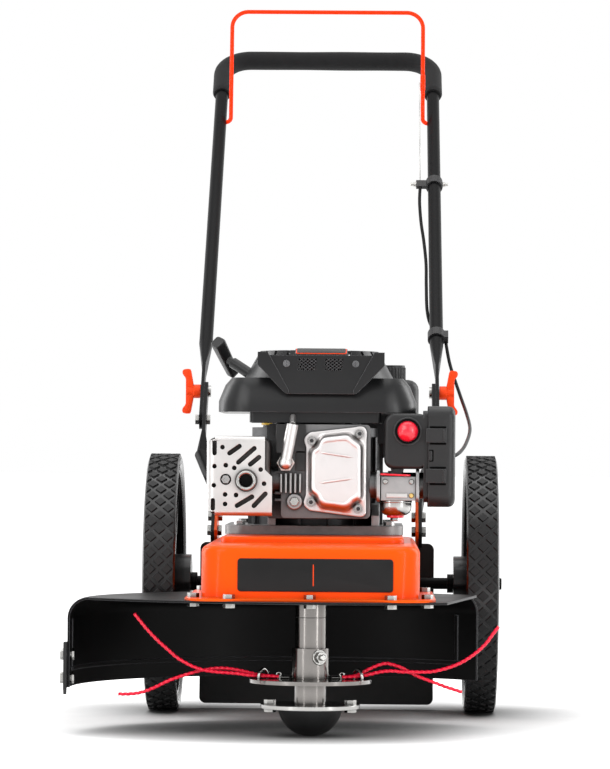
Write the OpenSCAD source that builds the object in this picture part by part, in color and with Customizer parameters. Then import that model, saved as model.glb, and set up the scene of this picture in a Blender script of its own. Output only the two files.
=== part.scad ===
// Wheeled string trimmer: a petrol engine on a belt deck drives a line head, with a folding handle
// Millimetres. The origin is on the ground under the head, +Y runs to the operator and +Z is up

/* [Wheels] */
// Outside diameter of a wheel
wheel_d = 356; // [330:1:380]
// Width of a tyre
tyre_w = 44; // [38:1:52]
// Depth of the tyre on its rim, tread included
tyre_t = 18; // [14:1:24]
// Height of the tread blocks
tread_h = 3; // [2:0.5:5]
// Pairs of tread rows round a tyre
tread_rows = 50; // [30:1:54]
// Distance between the wheel centres
track = 438; // [432:1:500]
// Sideways offset of the axle and its wheels
axle_x = 8; // [0:0.5:10]
// Distance of the axle behind the head
axle_y = 490; // [484:1:505]
// Diameter of the axle
axle_d = 16; // [12:1:20]
// Diameter of a wheel hub
hub_d = 76; // [50:1:90]
// Spokes in a wheel
spokes = 8; // [5:1:10]

/* [Line head] */
// Diameter of the spindle tube
spindle_d = 40; // [34:1:42]
// Diameter of the sleeve that carries the string plate
sleeve_d = 48; // [44:1:56]
// Height of the sleeve
sleeve_h = 39; // [30:1:44]
// Diameter of the string plate
string_plate_d = 154; // [140:1:170]
// Height of the string plate's top above the ground
string_plate_z = 72; // [68:1:73]
// Diameter of the skid plate
skid_plate_d = 126; // [110:1:140]
// Diameter of the skid dome
dome_d = 82; // [70:1:86]
// Depth of the skid dome
dome_h = 35; // [30:1:38]
// Thickness of both head plates
head_plate_t = 5; // [4:0.5:7]
// Diameter of the trimmer line
line_d = 4; // [3.5:0.5:4]

/* [Deck] */
// Width of the deck
deck_w = 274; // [264:1:280]
// Reach of the deck in front of the head
deck_reach = 85; // [80:1:95]
// Length of the deck
deck_len = 625; // [615:1:635]
// Height of the deck's top above the ground
deck_top = 242; // [238:1:248]
// Height of the engine platform on the deck
platform_h = 8; // [6:1:12]
// Thickness of the deck's sheet
sheet = 3; // [2:0.5:4]
// Width of the bolting flange at the sides
flange_side = 20; // [18:1:26]
// Width of the bolting flange at the front
flange_front = 27; // [24:1:32]

/* [Hood] */
// Radius of the hood's wall round the head
hood_r = 308; // [296:1:316]
// Height of the hood's top plate above the ground
hood_top = 173; // [172:1:176]
// Height of the hood's lower edge above the ground
hood_low = 59; // [50:1:70]
// Radius between the hood's plate and its wall
hood_bend = 26; // [16:1:34]
// Angle of the hood's right end round the head
hood_right = 45; // [38:1:50]
// Angle of the hood's left end round the head
hood_left = 182; // [172:1:186]

/* [Engine] */
// Crankshaft behind the head
engine_y = 330; // [325:1:334]
// Radius of the crankcase
case_r = 86; // [80:1:88]
// Height of the cylinder's axis above the deck's top
cylinder_rise = 92; // [90:1:94]
// Width of the blower shroud
shroud_w = 259; // [248:1:262]
// Height of the blower shroud
shroud_h = 84; // [78:1:90]
// Width of the muffler guard
guard_w = 85; // [80:1:88]
// Height of the muffler guard
guard_h = 103; // [98:1:108]
// Bore of the exhaust outlet
outlet_d = 17; // [14:0.5:19]
// Diameter of the primer bulb
primer_d = 27; // [22:1:29]
// Diameter of the fuel cap
fuel_cap_d = 36; // [34:1:44]

/* [Drive] */
// Outside diameter of the crank pulley
crank_pulley_d = 80; // [70:1:90]
// Outside diameter of the spindle pulley
spindle_pulley_d = 100; // [90:1:112]
// Width of the V-belt
belt_w = 12; // [10:1:13]
// Thickness of the V-belt
belt_t = 8; // [7:0.5:9]

/* [Handle] */
// Slope of the handle above level
handle_slope = 38; // [36:0.5:40]
// Diameter of the handle tube
handle_d = 20; // [19:0.5:22]
// Wall of the handle tube
handle_wall = 1.5; // [1.2:0.1:2.5]
// Distance between the handle tubes
handle_span = 340; // [336:1:350]
// Length from the fold pivot to the grip bar
handle_len = 963; // [900:1:1000]
// Radius of the bends beside the grip bar
handle_bend = 45; // [40:1:60]
// Height of the fold pivot above the ground
pivot_z = 405; // [400:1:410]
// Fold pivot behind the head
pivot_y = 668; // [664:1:672]
// Distance from the fold pivot to the wing knob
knob_reach = 67; // [60:1:74]
// Span of a wing knob
knob_span = 65; // [50:1:72]
// Diameter of the foam grip
grip_d = 30; // [27:1:34]
// Diameter of the bail rod
bail_d = 6.5; // [5.5:0.5:8]
// Length of the bail's legs
bail_len = 185; // [178:1:186]
// Angle of the bail above level
bail_rest = 78; // [74:1:82]

/* [Fits] */
// Running clearance round shafts and pins
fit = 0.08; // [0.05:0.01:0.1]
// Clearance between pieces that move past each other
gap = 0.3; // [0.25:0.05:0.4]
// Clearance round bolts
bolt_gap = 0.2; // [0.1:0.05:0.3]

/* [Hidden] */
$fn = 64;

// Overrun of every cut
cut = 1;
// Facets of rounded shells and of hex fasteners
soft_fn = 32;
hex = 6;

// Wheels
wheel_r = wheel_d / 2;
rim_r = wheel_r - tyre_t;
rim_t = 8;
rim_w = tyre_w - 2 * sheet;
web_t = 6;
shoulder = 6;
block_sink = 2;
block_across = 13;
hub_inner = 15;
hub_outer = 2;
spoke_w = 12;
spoke_depth_share = 0.66;
window_share = 0.3;
collar_d = 26;
collar_w = 8;
axle_nut_w = 24;
axle_nut_h = 7;
hub_face_in = track / 2 - tyre_w / 2 - hub_inner;
hub_face_out = track / 2 + tyre_w / 2 - hub_outer;
axle_half = hub_face_out + gap + axle_nut_h + sheet;

// Deck
deck_front = -deck_reach;
deck_rear = deck_len - deck_reach;
deck_corner = 34;
deck_edge = 9;
flange_z = hood_top;
flange_rear = 250;
flange_corner = 40;
platform_side = 19;
platform_w = deck_w - 2 * platform_side;
platform_front = 62;
platform_rear = 500;
platform_corner = 22;
platform_edge = 4;
crank_hole_d = 64;
lug_t = 4;
lug_len = 70;
lug_v = -241;
lug_w = -48;
lug_h = 68;
m8 = 8;
m8_head = 13;
m8_head_h = 5.5;
m6 = 6;
m6_head = 10;
m6_head_h = 4.5;
m8_hole = m8 + 2 * bolt_gap;
m6_hole = m6 + 2 * bolt_gap;
// Flange bolts as shares of half the flange's width and of its length from the front
flange_bolt_shares = [
  [0, 0.035], [-0.64, 0.035], [0.64, 0.035], [-0.935, 0.16], [0.935, 0.16], [-0.935, 0.9], [0.935, 0.9]
];

// Hood
hood_front_r = 410;
hood_front = 125;
hood_edge_top = 165;
hood_edge_rear = 216;
bead = 2.5;
bead_rise = 20;
bead_inset = 5;
bead_turn = 1;
strip_t = 4;
strip_w = 26;
strip_h = 66;
strip_drop = 8;
strip_bolt_shares = [0.3, 0.75];
flap_w = 328;
flap_t = 4;
flap_low = 6;
flap_top = 232;
flap_corner = 9;
flap_bolts = 3;
flap_bolt_share = 0.28;

// Spindle and belt drive
shaft_d = 20;
bearing_d = 42;
bearing_w = 12;
housing_d = 58;
housing_flange_d = 104;
housing_flange_t = 5;
seam_z = 150;
housing_top = hood_top + sheet + 2 * bearing_w + housing_flange_t;
pulley_t = 18;
pulley_z = housing_top + gap + sheet;
pulley_web = 8;
shaft_top = pulley_z + pulley_t + 2 * sheet;
crank_d = 25;
belt_mid = pulley_z + pulley_t / 2;
belt_sunk = 0.5;
pulley_lip = 2;

// Head
sleeve_top = string_plate_z + sleeve_h;
string_plate_low = string_plate_z - head_plate_t;
skid_plate_z = dome_h + head_plate_t;
dome_flat = 9;
head_bolt_turn = 30;
guide_r = 60;
guide_half = 11;
guide_turn = 30;
guide_h = 12;
guide_d = 4;
post_r = 40;
post_d = 7;
post_h = 2.5;
eye_r = 2.6;
eye_wire = 2.4;
eye_tail = 13;
skid_bolt_r = 51;
head_bolt_share = 0.72;
head_bolt_z = string_plate_z + sleeve_h * head_bolt_share;

// Engine
base_z = deck_top + platform_h;
base_w = 236;
base_front = 122;
base_rear = 142;
base_t = 12;
base_corner = 24;
engine_bolt_x = 99;
engine_bolt_ys = [-95, 85];
case_h = 142;
case_top = base_z + case_h;
boss_r = 56;
boss_h = 10;
case_ribs = 14;
shroud_post_r = 77;
shroud_post_d = 12;
post_turns = [45, 135];
front_post_x = 45;
front_post_y = 200;
rib_w = 5;
rib_out = 5;
cyl_z = deck_top + cylinder_rise;
block_half = 58;
block_reach = 92;
block_y = engine_y - block_reach;
core_r = 46;
fins = 7;
fin_t = 3;
fin_half = 62;
head_t = 27;
head_reach = 199;
head_front = engine_y - head_reach;
head_left = -50;
head_right = 74;
head_half = 61;
head_fin_n = 5;
head_fin_reach = 8;
head_fin_drop = 14;
head_fin_pitch = 9;
fin_rear = block_y;
cover_left = -12;
cover_w = 83;
cover_h = 125;
cover_flange = 5;
cover_t = 18;
// Valve cover outline as shares of its width and height, from its low left
cover_shares = [
  [0, 0.12], [0.05, 0.07], [0.93, 0], [1, 0.03], [1, 0.96], [0.95, 1], [0.06, 0.93], [0, 0.88]
];
cover_bolt_shares = [[0.115, 0.82], [0.865, 0.895], [0.11, 0.18], [0.85, 0.115]];
cover_panel_low_share = 0.84;
cover_panel_share = 0.68;
cover_crease_shares = [[0.22, 0.7, 0.78, 0.65], [0.22, 0.38, 0.78, 0.43]];
crease_d = 3;
plug_x = -36;
plug_z = 345;
plug_d = 14;
plug_hex = 20;
plug_len = 18;
plug_tip_d = 10.5;
boot_d = 15;
boot_up = 50;
boot_lean = 9;
guard_x = -138;
guard_z = 276;
guard_reach = 232;
guard_y = engine_y - guard_reach;
guard_t = 1.5;
guard_wrap = 58;
guard_fold = shoulder + guard_t;
muffler_in = 3;
muffler_back = 12;
muffler_deep = 48;
muffler_edge = 10;
outlet_shares = [0.606, 0.443];
outlet_x = guard_x + guard_w * outlet_shares[0];
outlet_z = guard_z + guard_h * outlet_shares[1];
outlet_out = 7;
outlet_deep = 30;
outlet_ring_d = 28;
guard_hole_d = 6;
guard_slot_w = 5;
guard_bolt_shares = [0.295, 0.456];
// Guard slots as shares of its width and height: both ends
guard_slot_shares = [
  [0.35, 0.785, 0.5, 0.873], [0.485, 0.671, 0.727, 0.848], [0.667, 0.646, 0.833, 0.76],
  [0.47, 0.127, 0.697, 0.24], [0.727, 0.127, 0.9, 0.278], [0.12, 0.785, 0.12, 0.96], [0.1, 0.06, 0.1, 0.19]
];
guard_hole_shares = [
  [0.295, 0.633], [0.424, 0.6], [0.826, 0.582], [0.288, 0.266], [0.455, 0.26], [0.242, 0.86],
  [0.879, 0.405], [0.121, 0.62], [0.114, 0.38], [0.288, 0.146]
];
carb_x = 81;
carb_w = 62;
carb_z = 297;
carb_h = 39;
carb_deep = 44;
carb_in = 7;
carb_block_w = 45;
carb_block_h = 31;
carb_cap_d = 20;
carb_cap_z = 11;
carb_cap_h = 8;
throat_d = 34;
bowl_d = 43;
bowl_h = 20;
bowl_x = 107;
drain_d = 12;
drain_h = 7;
cleaner_left = 92;
cleaner_w = 57;
cleaner_z = 338;
cleaner_h = 72;
cleaner_y = 118;
cleaner_deep = 84;
cleaner_corner = 12;
cleaner_edge = 5;
primer_x = 122;
primer_z = 387;
primer_ring_d = 36;
primer_ring_h = 4;
primer_out = 9;
primer_deep = 16;
primer_ball = 17;
lid_w = 35;
lid_y = 112;
lid_deep = 104;
lid_z = 289;
lid_h = 131;
lid_corner = 16;
lid_edge = 9;
latch_w = 26;
latch_h = 18;
latch_t = 5;
latch_shares = [0.24, 0.64];
latch_start_share = 0.12;
shroud_rise = 161;
shroud_z = base_z + shroud_rise;
shroud_front = 128;
shroud_len = 302;
shroud_corner = 44;
shroud_edge = 10;
shroud_x = 4;
shroud_in = 17;
shroud_step = 8.5;
shroud_lower = 14;
shroud_mid = 35;
shroud_body = 45;
shroud_wall = 2.5;
panel_x = 9;
panel_top_w = 152;
panel_low_w = 88;
panel_low = 24;
panel_drop = 10;
panel_out = 4;
panel_deep = engine_y - shroud_front + panel_out;
vent_w = 23;
vent_h = 15;
vent_split = 35;
vent_rise = 62;
vent_nx = 6;
vent_nz = 5;
vent_hole = 2;
recoil_r = 104;
recoil_top_r = 80;
recoil_low = 41;
recoil_slots = 24;
recoil_slot_w = 5;
recoil_slot_in_share = 0.5;
recoil_slot_len_share = 0.36;
screw_d = 9;
screw_h = 2.5;
screw_slot = 1.4;
screw_split = 90;
screw_rise = 63;
guide_arm_d = 15;
guide_arm_len = 56;
rope_hole_deep = 40;
flywheel_r = 60;
ridge_w = 13;
ridge_out = 4;
ridge_len = 48;
ridge_tip = 4;
badge_w = 68;
badge_deep = 30;
badge_h = 9;
duct_left = -84;
duct_right = 88;
duct_front = 138;
duct_rear = 250;
duct_z = 397.5;
grip_x = -125;
grip_y = 380;
grip_z = 487;
starter_pull = [-0.75, 0.45, 0.48];
grip_half = 24;
grip_rod_d = 19;
grip_stem = 14;
grip_stem_d = 13;
grip_lean = 45;
grip_roll = -25;
grip_end = 8;
rope_d = 4;
tank_left = -20;
tank_w = 160;
tank_y = 436;
tank_deep = 70;
tank_z = 352;
tank_h = 108;
tank_corner = 20;
tank_edge = 14;
neck_x = 104;
neck_y = tank_y + tank_deep / 2;
neck_d = 26;
neck_h = 8;
fuel_cap_h = 20;
cap_ribs = 24;
cap_rib_d = 2.4;
dip_x = -62;
dip_y = 456;
dip_neck_d = 26;
dip_neck_h = 146;
dip_bore_d = 18;
dip_rod_d = 5;
dip_len = 110;
dip_cap_d = 30;
dip_cap_h = 15;
dip_disc_h = 9;
dip_bar_w = 7;
lever_x = 96;
lever_t = 3;
lever_y = 320;
lever_z = 385;
lever_len = 36;
lever_w = 14;
lever_pin_d = 6;

// Handle
flat_t = 5;
flat_w = 27;
flat_end = 14;
flat_len = 132;
flat_blend = 52;
tube_x = handle_span / 2;
low_flat_x = tube_x - flat_t - gap;
lug_x = deck_w / 2;
foot_x = lug_x + lug_t + flat_t / 2;
foot_v = -236;
foot_half = 44;
foot_bolt_v = 16;
foot_blend = 34;
low_flat_end = 56;
low_blend = 30;
blend_in = 5;
grip_leg = 58;
bail_over = 1.5;
bail_v = handle_len - bail_len + bail_over;
bail_x = 153;
bail_bend = 26;
bail_hook = 8;
bail_stub = 6;
crimp_d = 8;
crimp_low = 55;
crimp_h = 25;
wire_d = 1.6;
bracket_share = 0.6293;
clip_share = 0.2129;
bracket_v = handle_len * bracket_share;
clip_v = handle_len * clip_share;
holder_d = 26;
holder_h = 16;
bracket_arm = 6;
cable_d = 5;
knob_hub_d = 21;
knob_hub_w = 9;
knob_out = 26;
knob_t = 12;
knob_wing = 14;
knob_fillet = 4;
knob_tip = knob_out - knob_wing / 2;
carriage_d = 17;
carriage_h = 4;
knob_bolt_in = 17;
bail_y = pivot_y + bail_v * cos(handle_slope);
bail_z = pivot_z + bail_v * sin(handle_slope);

// Routes of the free line halves, from the post outwards
route_left_upper = [
  [-40, -6, 74.5], [-52, -4.5, 75], [-64, -4, 75], [-78, -4, 76], [-92, -4, 78], [-106, -4, 79],
  [-120, -5, 80], [-134, -6, 82], [-147, -8, 86], [-159, -10, 92], [-170, -12, 99], [-180, -15, 108],
  [-190, -18, 117], [-199, -21, 126], [-207, -25, 135], [-215, -28, 145], [-222, -31, 154]
];
route_left_lower = [
  [-40, 6, 74.5], [-52, 4.5, 75], [-64, 4, 76], [-78, 4, 79], [-92, 4, 82], [-106, 4, 84], [-120, 4, 84],
  [-134, 4, 82], [-147, 3, 79], [-160, 2, 75], [-172, 1, 71], [-184, 0, 66], [-196, -2, 60],
  [-208, -4, 55], [-220, -5, 52], [-232, -6, 51], [-243, -7, 51]
];
route_right_upper = [
  [40, -6, 74.5], [52, -4.5, 75], [64, -4, 76], [77, -4, 79], [90, -4, 82], [103, -4, 83], [116, -4, 82],
  [129, -5, 82], [142, -6, 82], [155, -7, 83], [168, -8, 86], [180, -10, 90], [191, -12, 95],
  [202, -14, 102], [212, -17, 110], [221, -20, 119], [229, -23, 130], [237, -26, 141]
];
route_right_lower = [
  [40, 6, 74.5], [51, 4.5, 75], [62, 4, 78], [73, 4, 84], [84, 4, 89], [95, 4, 92], [106, 4, 90],
  [117, 4, 86], [128, 4, 80], [139, 3, 75], [150, 2, 71], [161, 1, 67], [172, 0, 63], [182, -1, 60],
  [192, -3, 57]
];
// Route of the control cable from its clip on the tube to the brake lever
route_cable = [
  [184, 826, 522], [190, 792, 488], [203, 722, 444], [211, 650, 416], [214, 570, 394], [208, 490, 376],
  [198, 420, 362], [183, 365, 354], [152, 338, 350], [118, 327, 350], [100, 323, 350]
];

// Route of the upper cable in the handle's own frame, from its bracket to its clip
route_cable_upper = [
  [148, 597, 0], [147, 560, -2], [149, 510, -5], [153, 460, -6], [156, 400, -5], [156, 340, -4],
  [157, 280, -7], [163, 252, -14], [176, 234, -15], [184, 214, -5]
];

// A rod of diameter d along X or Y
module x_rod(d, x0, x1) translate([x0, 0, 0]) rotate([0, 90, 0]) cylinder(d = d, h = x1 - x0);
module y_rod(d, y0, y1) translate([0, y0, 0]) rotate([-90, 0, 0]) cylinder(d = d, h = y1 - y0);

// A round rod from point a to point b
module rod(a, b, d) {
  v = b - a;
  translate(a)
    rotate([0, acos(v.z / norm(v)), atan2(v.y, v.x)])
      cylinder(d = d, h = norm(v));
}

// Rounded rectangle between two corners, with exact corner arcs
module slab(x0, x1, y0, y1, r) {
  translate([x0 + r, y0]) square([x1 - x0 - 2 * r, y1 - y0]);
  translate([x0, y0 + r]) square([x1 - x0, y1 - y0 - 2 * r]);
  for (x = [x0 + r, x1 - r], y = [y0 + r, y1 - r]) translate([x, y]) circle(r);
}

// Straight bar with round ends between two points of a plane, its sides a hair inside the ends
module pill(a, b, w) {
  v = b - a;
  translate(a) circle(d = w);
  translate(b) circle(d = w);
  translate(a) rotate(atan2(v.y, v.x)) translate([0, fit - w / 2]) square([norm(v), w - 2 * fit]);
}

// Box whose upright corners and top edges are rounded
module soft_box(x0, x1, y0, y1, z0, z1, corner, edge) hull()
  for (x = [x0 + corner, x1 - corner], y = [y0 + corner, y1 - corner]) {
    translate([x, y, z0]) cylinder(r = corner, h = z1 - z0 - edge, $fn = soft_fn);
    translate([x, y, z1 - edge]) rotate_extrude($fn = soft_fn) translate([corner - edge, 0]) intersection() {
      circle(edge, $fn = soft_fn / 2);
      square(edge);
    }
  }

// Hex bolt that hangs from its seat at zero: head above, shank and nut below
module bolt(d, head, head_h, len, nut_h = 0) {
  cylinder(d = head / cos(180 / hex), h = head_h, $fn = hex);
  translate([0, 0, -len]) cylinder(d = d, h = len + head_h / 2);
  if (nut_h > 0) translate([0, 0, -len]) cylinder(d = head / cos(180 / hex), h = nut_h, $fn = hex);
}

// Swept round tube along hand-set points
function unit(v) = v / norm(v);
function heading(p, i) = unit(p[min(i + 1, len(p) - 1)] - p[max(i - 1, 0)]);
function ring(p, i, r, sides, ref) =
  let (t = heading(p, i), a = unit(cross(t, ref)), b = cross(a, t))
  [for (k = [0 : sides - 1]) p[i] + r * (cos(360 * k / sides) * a + sin(360 * k / sides) * b)];
// Smooth curve through the points, with steps pieces for each stretch
function through(a, b, c, d, t) =
  ((2 * b) + (c - a) * t + (2 * a - 5 * b + 4 * c - d) * t * t + (3 * b - a - 3 * c + d) * t * t * t) / 2;
function smooth(p, steps) = [
  for (i = [0 : len(p) - 2], s = [0 : steps - 1])
    through(p[max(i - 1, 0)], p[i], p[i + 1], p[min(i + 2, len(p) - 1)], s / steps),
  p[len(p) - 1]
];
module sweep(p, d, sides, ref = [0, 1, 0]) {
  n = len(p);
  points = [for (i = [0 : n - 1]) each ring(p, i, d / 2, sides, ref)];
  skin = [
    for (i = [0 : n - 2], k = [0 : sides - 1])
      each [
        [i * sides + k, i * sides + (k + 1) % sides, (i + 1) * sides + k],
        [i * sides + (k + 1) % sides, (i + 1) * sides + (k + 1) % sides, (i + 1) * sides + k]
      ]
  ];
  start_cap = [for (k = [1 : sides - 2]) [0, k + 1, k]];
  end_cap = [for (k = [1 : sides - 2]) [(n - 1) * sides, (n - 1) * sides + k, (n - 1) * sides + k + 1]];
  polyhedron(points, concat(skin, start_cap, end_cap));
}

// Handle's own frame: Y runs up the handle from the fold pivot, Z stands off its upper side
module on_handle() translate([0, pivot_y, pivot_z]) rotate([handle_slope, 0, 0]) children();
module on_bail() translate([0, bail_y, bail_z]) rotate([bail_rest, 0, 0]) children();

// U of round rod: legs at +-x from low to top, bends of radius r
module u_rod(d, x, low, top, r) {
  for (side = [-1, 1]) {
    translate([side * x, low, 0]) rotate([-90, 0, 0]) cylinder(d = d, h = top - r - low);
    translate([side * (x - r), top - r, 0]) rotate([0, 0, side > 0 ? 0 : 90])
      rotate_extrude(angle = 90) translate([r, 0]) circle(d = d);
  }
  translate([0, top, 0]) x_rod(d, r - x, x - r);
}

// Deck
flange_half = deck_w / 2 + flange_side;
flange_y = deck_front - flange_front;
function flange_at(s) = [s[0] * flange_half, flange_y + s[1] * (flange_rear - flange_y)];
engine_bolts = [for (x = [-engine_bolt_x, engine_bolt_x], y = engine_bolt_ys) [x, engine_y + y]];
flap_bolt_z = flap_top - 2 * m8_head;

module axle_slot(x0, x1) translate([0, axle_y, wheel_r]) {
  x_rod(axle_d + 4 * sheet, x0, x1);
  translate([x0, -axle_d / 2 - 2 * sheet, -wheel_r]) cube([x1 - x0, axle_d + 4 * sheet, wheel_r]);
}

module deck() color("orangered") difference() {
  union() {
    soft_box(-deck_w / 2, deck_w / 2, deck_front, deck_rear, flange_z, deck_top, deck_corner, deck_edge);
    translate([0, 0, flange_z]) linear_extrude(sheet)
      slab(-flange_half, flange_half, flange_y, flange_rear, flange_corner);
    soft_box(-platform_w / 2, platform_w / 2, platform_front, platform_rear, deck_top - sheet, base_z,
      platform_corner, platform_edge);
    for (side = [-1, 1]) on_handle()
      translate([side * (lug_x + lug_t / 2) - lug_t / 2, lug_v - lug_len / 2, lug_w])
        cube([lug_t, lug_len, lug_h]);
  }
  soft_box(sheet - deck_w / 2, deck_w / 2 - sheet, deck_front + sheet, deck_rear - sheet, flange_z - cut,
    deck_top - sheet, deck_corner - sheet, deck_edge - sheet);
  translate([0, engine_y, flange_z]) cylinder(d = crank_hole_d, h = base_z);
  for (s = flange_bolt_shares) translate(flange_at(s)) cylinder(d = m8_hole, h = deck_top);
  for (p = engine_bolts) translate([p.x, p.y, deck_top - sheet - cut]) cylinder(d = m8_hole, h = base_z);
  axle_slot(-deck_w, deck_w);
  for (v = [-foot_bolt_v, foot_bolt_v], side = [-1, 1]) mirror([side > 0 ? 0 : 1, 0, 0]) on_handle()
    translate([0, foot_v + v, 0]) x_rod(m8_hole, lug_x - cut, lug_x + lug_t + cut);
  for (i = [0 : flap_bolts - 1]) translate([flap_bolt_x(i), 0, flap_bolt_z])
    y_rod(m8_hole, deck_rear - 2 * sheet, deck_rear + cut);
}
function flap_bolt_x(i) = (i - (flap_bolts - 1) / 2) * flap_w * flap_bolt_share;

// Hood
plate_low = hood_top - sheet;
module hood_outline() intersection() {
  circle(hood_r - hood_bend - sheet / 2);
  translate([0, hood_front_r - hood_front]) circle(hood_front_r);
  polygon([
    [-2 * hood_r, -hood_r], [hood_edge_top - hood_bend, -hood_r], [hood_edge_top, -hood_front],
    [hood_edge_rear, hood_edge_rear - hood_bend], [hood_r, hood_r], [-2 * hood_r, hood_r]
  ]);
}
module hood_profile() {
  translate([hood_r - sheet, hood_low]) square([sheet, hood_top - hood_bend - hood_low]);
  translate([hood_r - hood_bend, hood_top - hood_bend]) intersection() {
    difference() {
      circle(hood_bend);
      circle(hood_bend - sheet);
    }
    square(hood_bend);
  }
  translate([hood_r - hood_bend - sheet, plate_low]) square(sheet);
}
module debris_hood() color("#222222") difference() {
  union() {
    translate([0, 0, plate_low]) linear_extrude(sheet) hood_outline();
    rotate(hood_right) rotate_extrude(angle = hood_left - hood_right) hood_profile();
    rotate(hood_right + bead_inset) rotate_extrude(angle = hood_left - hood_right - 2 * bead_inset)
      translate([hood_r - sheet - bead, hood_low + bead_rise]) square([bead + sheet / 2, 2 * bead]);
    for (a = [hood_right + bead_inset + bead_turn, hood_left - bead_inset - 2 * bead_turn]) rotate(a)
      rotate_extrude(angle = bead_turn) translate([hood_r - sheet - bead / 2, hood_low + bead_rise + bead])
        square([(bead + sheet) / 2, hood_top - hood_bend - hood_low - bead_rise - 2 * bead]);
  }
  translate([0, 0, plate_low - cut]) cylinder(d = spindle_d + 4 * bolt_gap, h = 2 * sheet);
  for (s = flange_bolt_shares) translate(flange_at(s)) translate([0, 0, plate_low - cut])
    cylinder(d = m8_hole, h = sheet + 2 * cut);
  for (s = strip_bolt_shares) on_hood_end(s) x_rod(m8_hole, -strip_t - 2 * sheet, 2 * sheet);
}

// Frame on the hood's left end: X points out of the wall
module on_hood_end(s) rotate(hood_left)
  translate([hood_r, -strip_w / 2, hood_low - strip_drop + s * strip_h]) children();
module hood_flap() color("#1b1b1b") rotate(hood_left) difference() {
  translate([hood_r, 0, hood_low - strip_drop]) rotate([90, 0, 0]) rotate([0, 90, 0])
    linear_extrude(strip_t) polygon([
      [0, strip_drop], [strip_w / 2, 0], [strip_w, strip_drop], [strip_w, strip_h], [0, strip_h]
    ]);
  rotate(-hood_left) for (s = strip_bolt_shares) on_hood_end(s) x_rod(m8_hole, -cut, strip_t + cut);
}

module chassis_bolts() color("silver") {
  for (s = flange_bolt_shares) translate(flange_at(s)) translate([0, 0, flange_z + sheet])
    bolt(m8, m8_head, m8_head_h, 2 * sheet + m8_head_h, m8_head_h);
  for (s = strip_bolt_shares) on_hood_end(s) translate([strip_t, 0, 0]) rotate([0, 90, 0])
    bolt(m8, m8_head, m8_head_h, strip_t + sheet + m8_head_h, m8_head_h - bead);
  for (i = [0 : flap_bolts - 1]) translate([flap_bolt_x(i), deck_rear + flap_t, flap_bolt_z])
    rotate([-90, 0, 0]) bolt(m8, m8_head, m8_head_h, flap_t + sheet + m8_head_h, m8_head_h);
}

module rear_flap() color("#141414") difference() {
  translate([0, deck_rear + flap_t, 0]) rotate([90, 0, 0]) linear_extrude(flap_t)
    slab(-flap_w / 2, flap_w / 2, flap_low, flap_top, flap_corner);
  for (i = [0 : flap_bolts - 1]) translate([flap_bolt_x(i), 0, flap_bolt_z])
    y_rod(m8_hole, deck_rear - cut, deck_rear + flap_t + cut);
}

// Axle and wheels
module at_axle(x = 0) translate([x, axle_y, wheel_r]) children();
module axle() color("#1c1c1c") at_axle(axle_x) {
  x_rod(axle_d, -axle_half, axle_half);
  for (side = [-1, 1]) mirror([side > 0 ? 0 : 1, 0, 0])
    x_rod(collar_d, hub_face_in - gap - collar_w, hub_face_in - gap);
}
module axle_nuts() color("silver") at_axle(axle_x) for (side = [-1, 1]) mirror([side > 0 ? 0 : 1, 0, 0])
  difference() {
    union() {
      translate([hub_face_out + gap, 0, 0]) rotate([0, 90, 0])
        cylinder(d = axle_nut_w / cos(180 / hex), h = axle_nut_h, $fn = hex);
      x_rod(axle_nut_w + 2 * sheet, hub_face_out + gap, hub_face_out + gap + sheet / 2);
    }
    x_rod(axle_d + fit, 0, axle_half + cut);
  }
bracket_x = deck_w / 2 - sheet;
bracket_half = 32;
bracket_rear = 14;
bracket_low = 22;
bracket_boss_d = 28;
bracket_boss_w = 14;
module axle_brackets() color("#1c1c1c") for (side = [-1, 1]) mirror([side > 0 ? 0 : 1, 0, 0])
  at_axle() difference() {
    union() {
      translate([bracket_x - lug_t, -bracket_half, -bracket_low])
        cube([lug_t, bracket_half + bracket_rear, deck_top - sheet - deck_edge - wheel_r + bracket_low]);
      x_rod(bracket_boss_d, bracket_x - bracket_boss_w, bracket_x);
    }
    x_rod(axle_d + 2 * fit, 0, deck_w);
  }

module tread_block(turn, x) rotate([turn, 0, 0]) translate([x, 0, wheel_r - tread_h - block_sink])
  linear_extrude(tread_h + block_sink) polygon([
    [-block_across / 2, 0], [0, -block_across / 2], [block_across / 2, 0], [0, block_across / 2]
  ]);
module tyre(side) color("#151515") at_axle(axle_x + side * track / 2) {
  base = wheel_r - tread_h;
  half = tyre_w / 2;
  step = 360 / tread_rows;
  rotate([0, 90, 0]) rotate_extrude() polygon([
    [rim_r, -half], [base - shoulder, -half], [base, shoulder - half],
    [base, half - shoulder], [base - shoulder, half], [rim_r, half]
  ]);
  for (i = [0 : tread_rows - 1]) {
    for (x = [-tyre_w / 4, tyre_w / 4]) tread_block(i * step, x);
    tread_block((2 * i + 1) * step / 2, 0);
  }
}
module rim(side) color("#101010") at_axle(axle_x + side * track / 2)
  mirror([side > 0 ? 0 : 1, 0, 0]) difference() {
    union() {
      rotate([0, 90, 0]) rotate_extrude() {
        translate([rim_r - rim_t, -rim_w / 2]) square([rim_t - fit, rim_w]);
        translate([0, -web_t / 2]) square([rim_r - rim_t + cut, web_t]);
      }
      x_rod(hub_d, hub_face_in - track / 2, hub_face_out - track / 2);
      for (i = [0 : spokes - 1]) rotate([i * 360 / spokes, 0, 0])
        translate([-rim_w * spoke_depth_share / 2, -spoke_w / 2, hub_d / 4])
          cube([rim_w * spoke_depth_share, spoke_w, rim_r - rim_t / 2 - hub_d / 4]);
    }
    for (i = [0 : spokes - 1]) rotate([(2 * i + 1) * 180 / spokes, 0, 0])
      translate([0, 0, (rim_r - rim_t + hub_d / 2) / 2])
        x_rod((rim_r - rim_t) * window_share, -rim_w, rim_w);
    x_rod(axle_d + 2 * fit, -track, track);
  }
module tyre_left() tyre(-1);
module tyre_right() tyre(1);
module rim_left() rim(-1);
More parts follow.
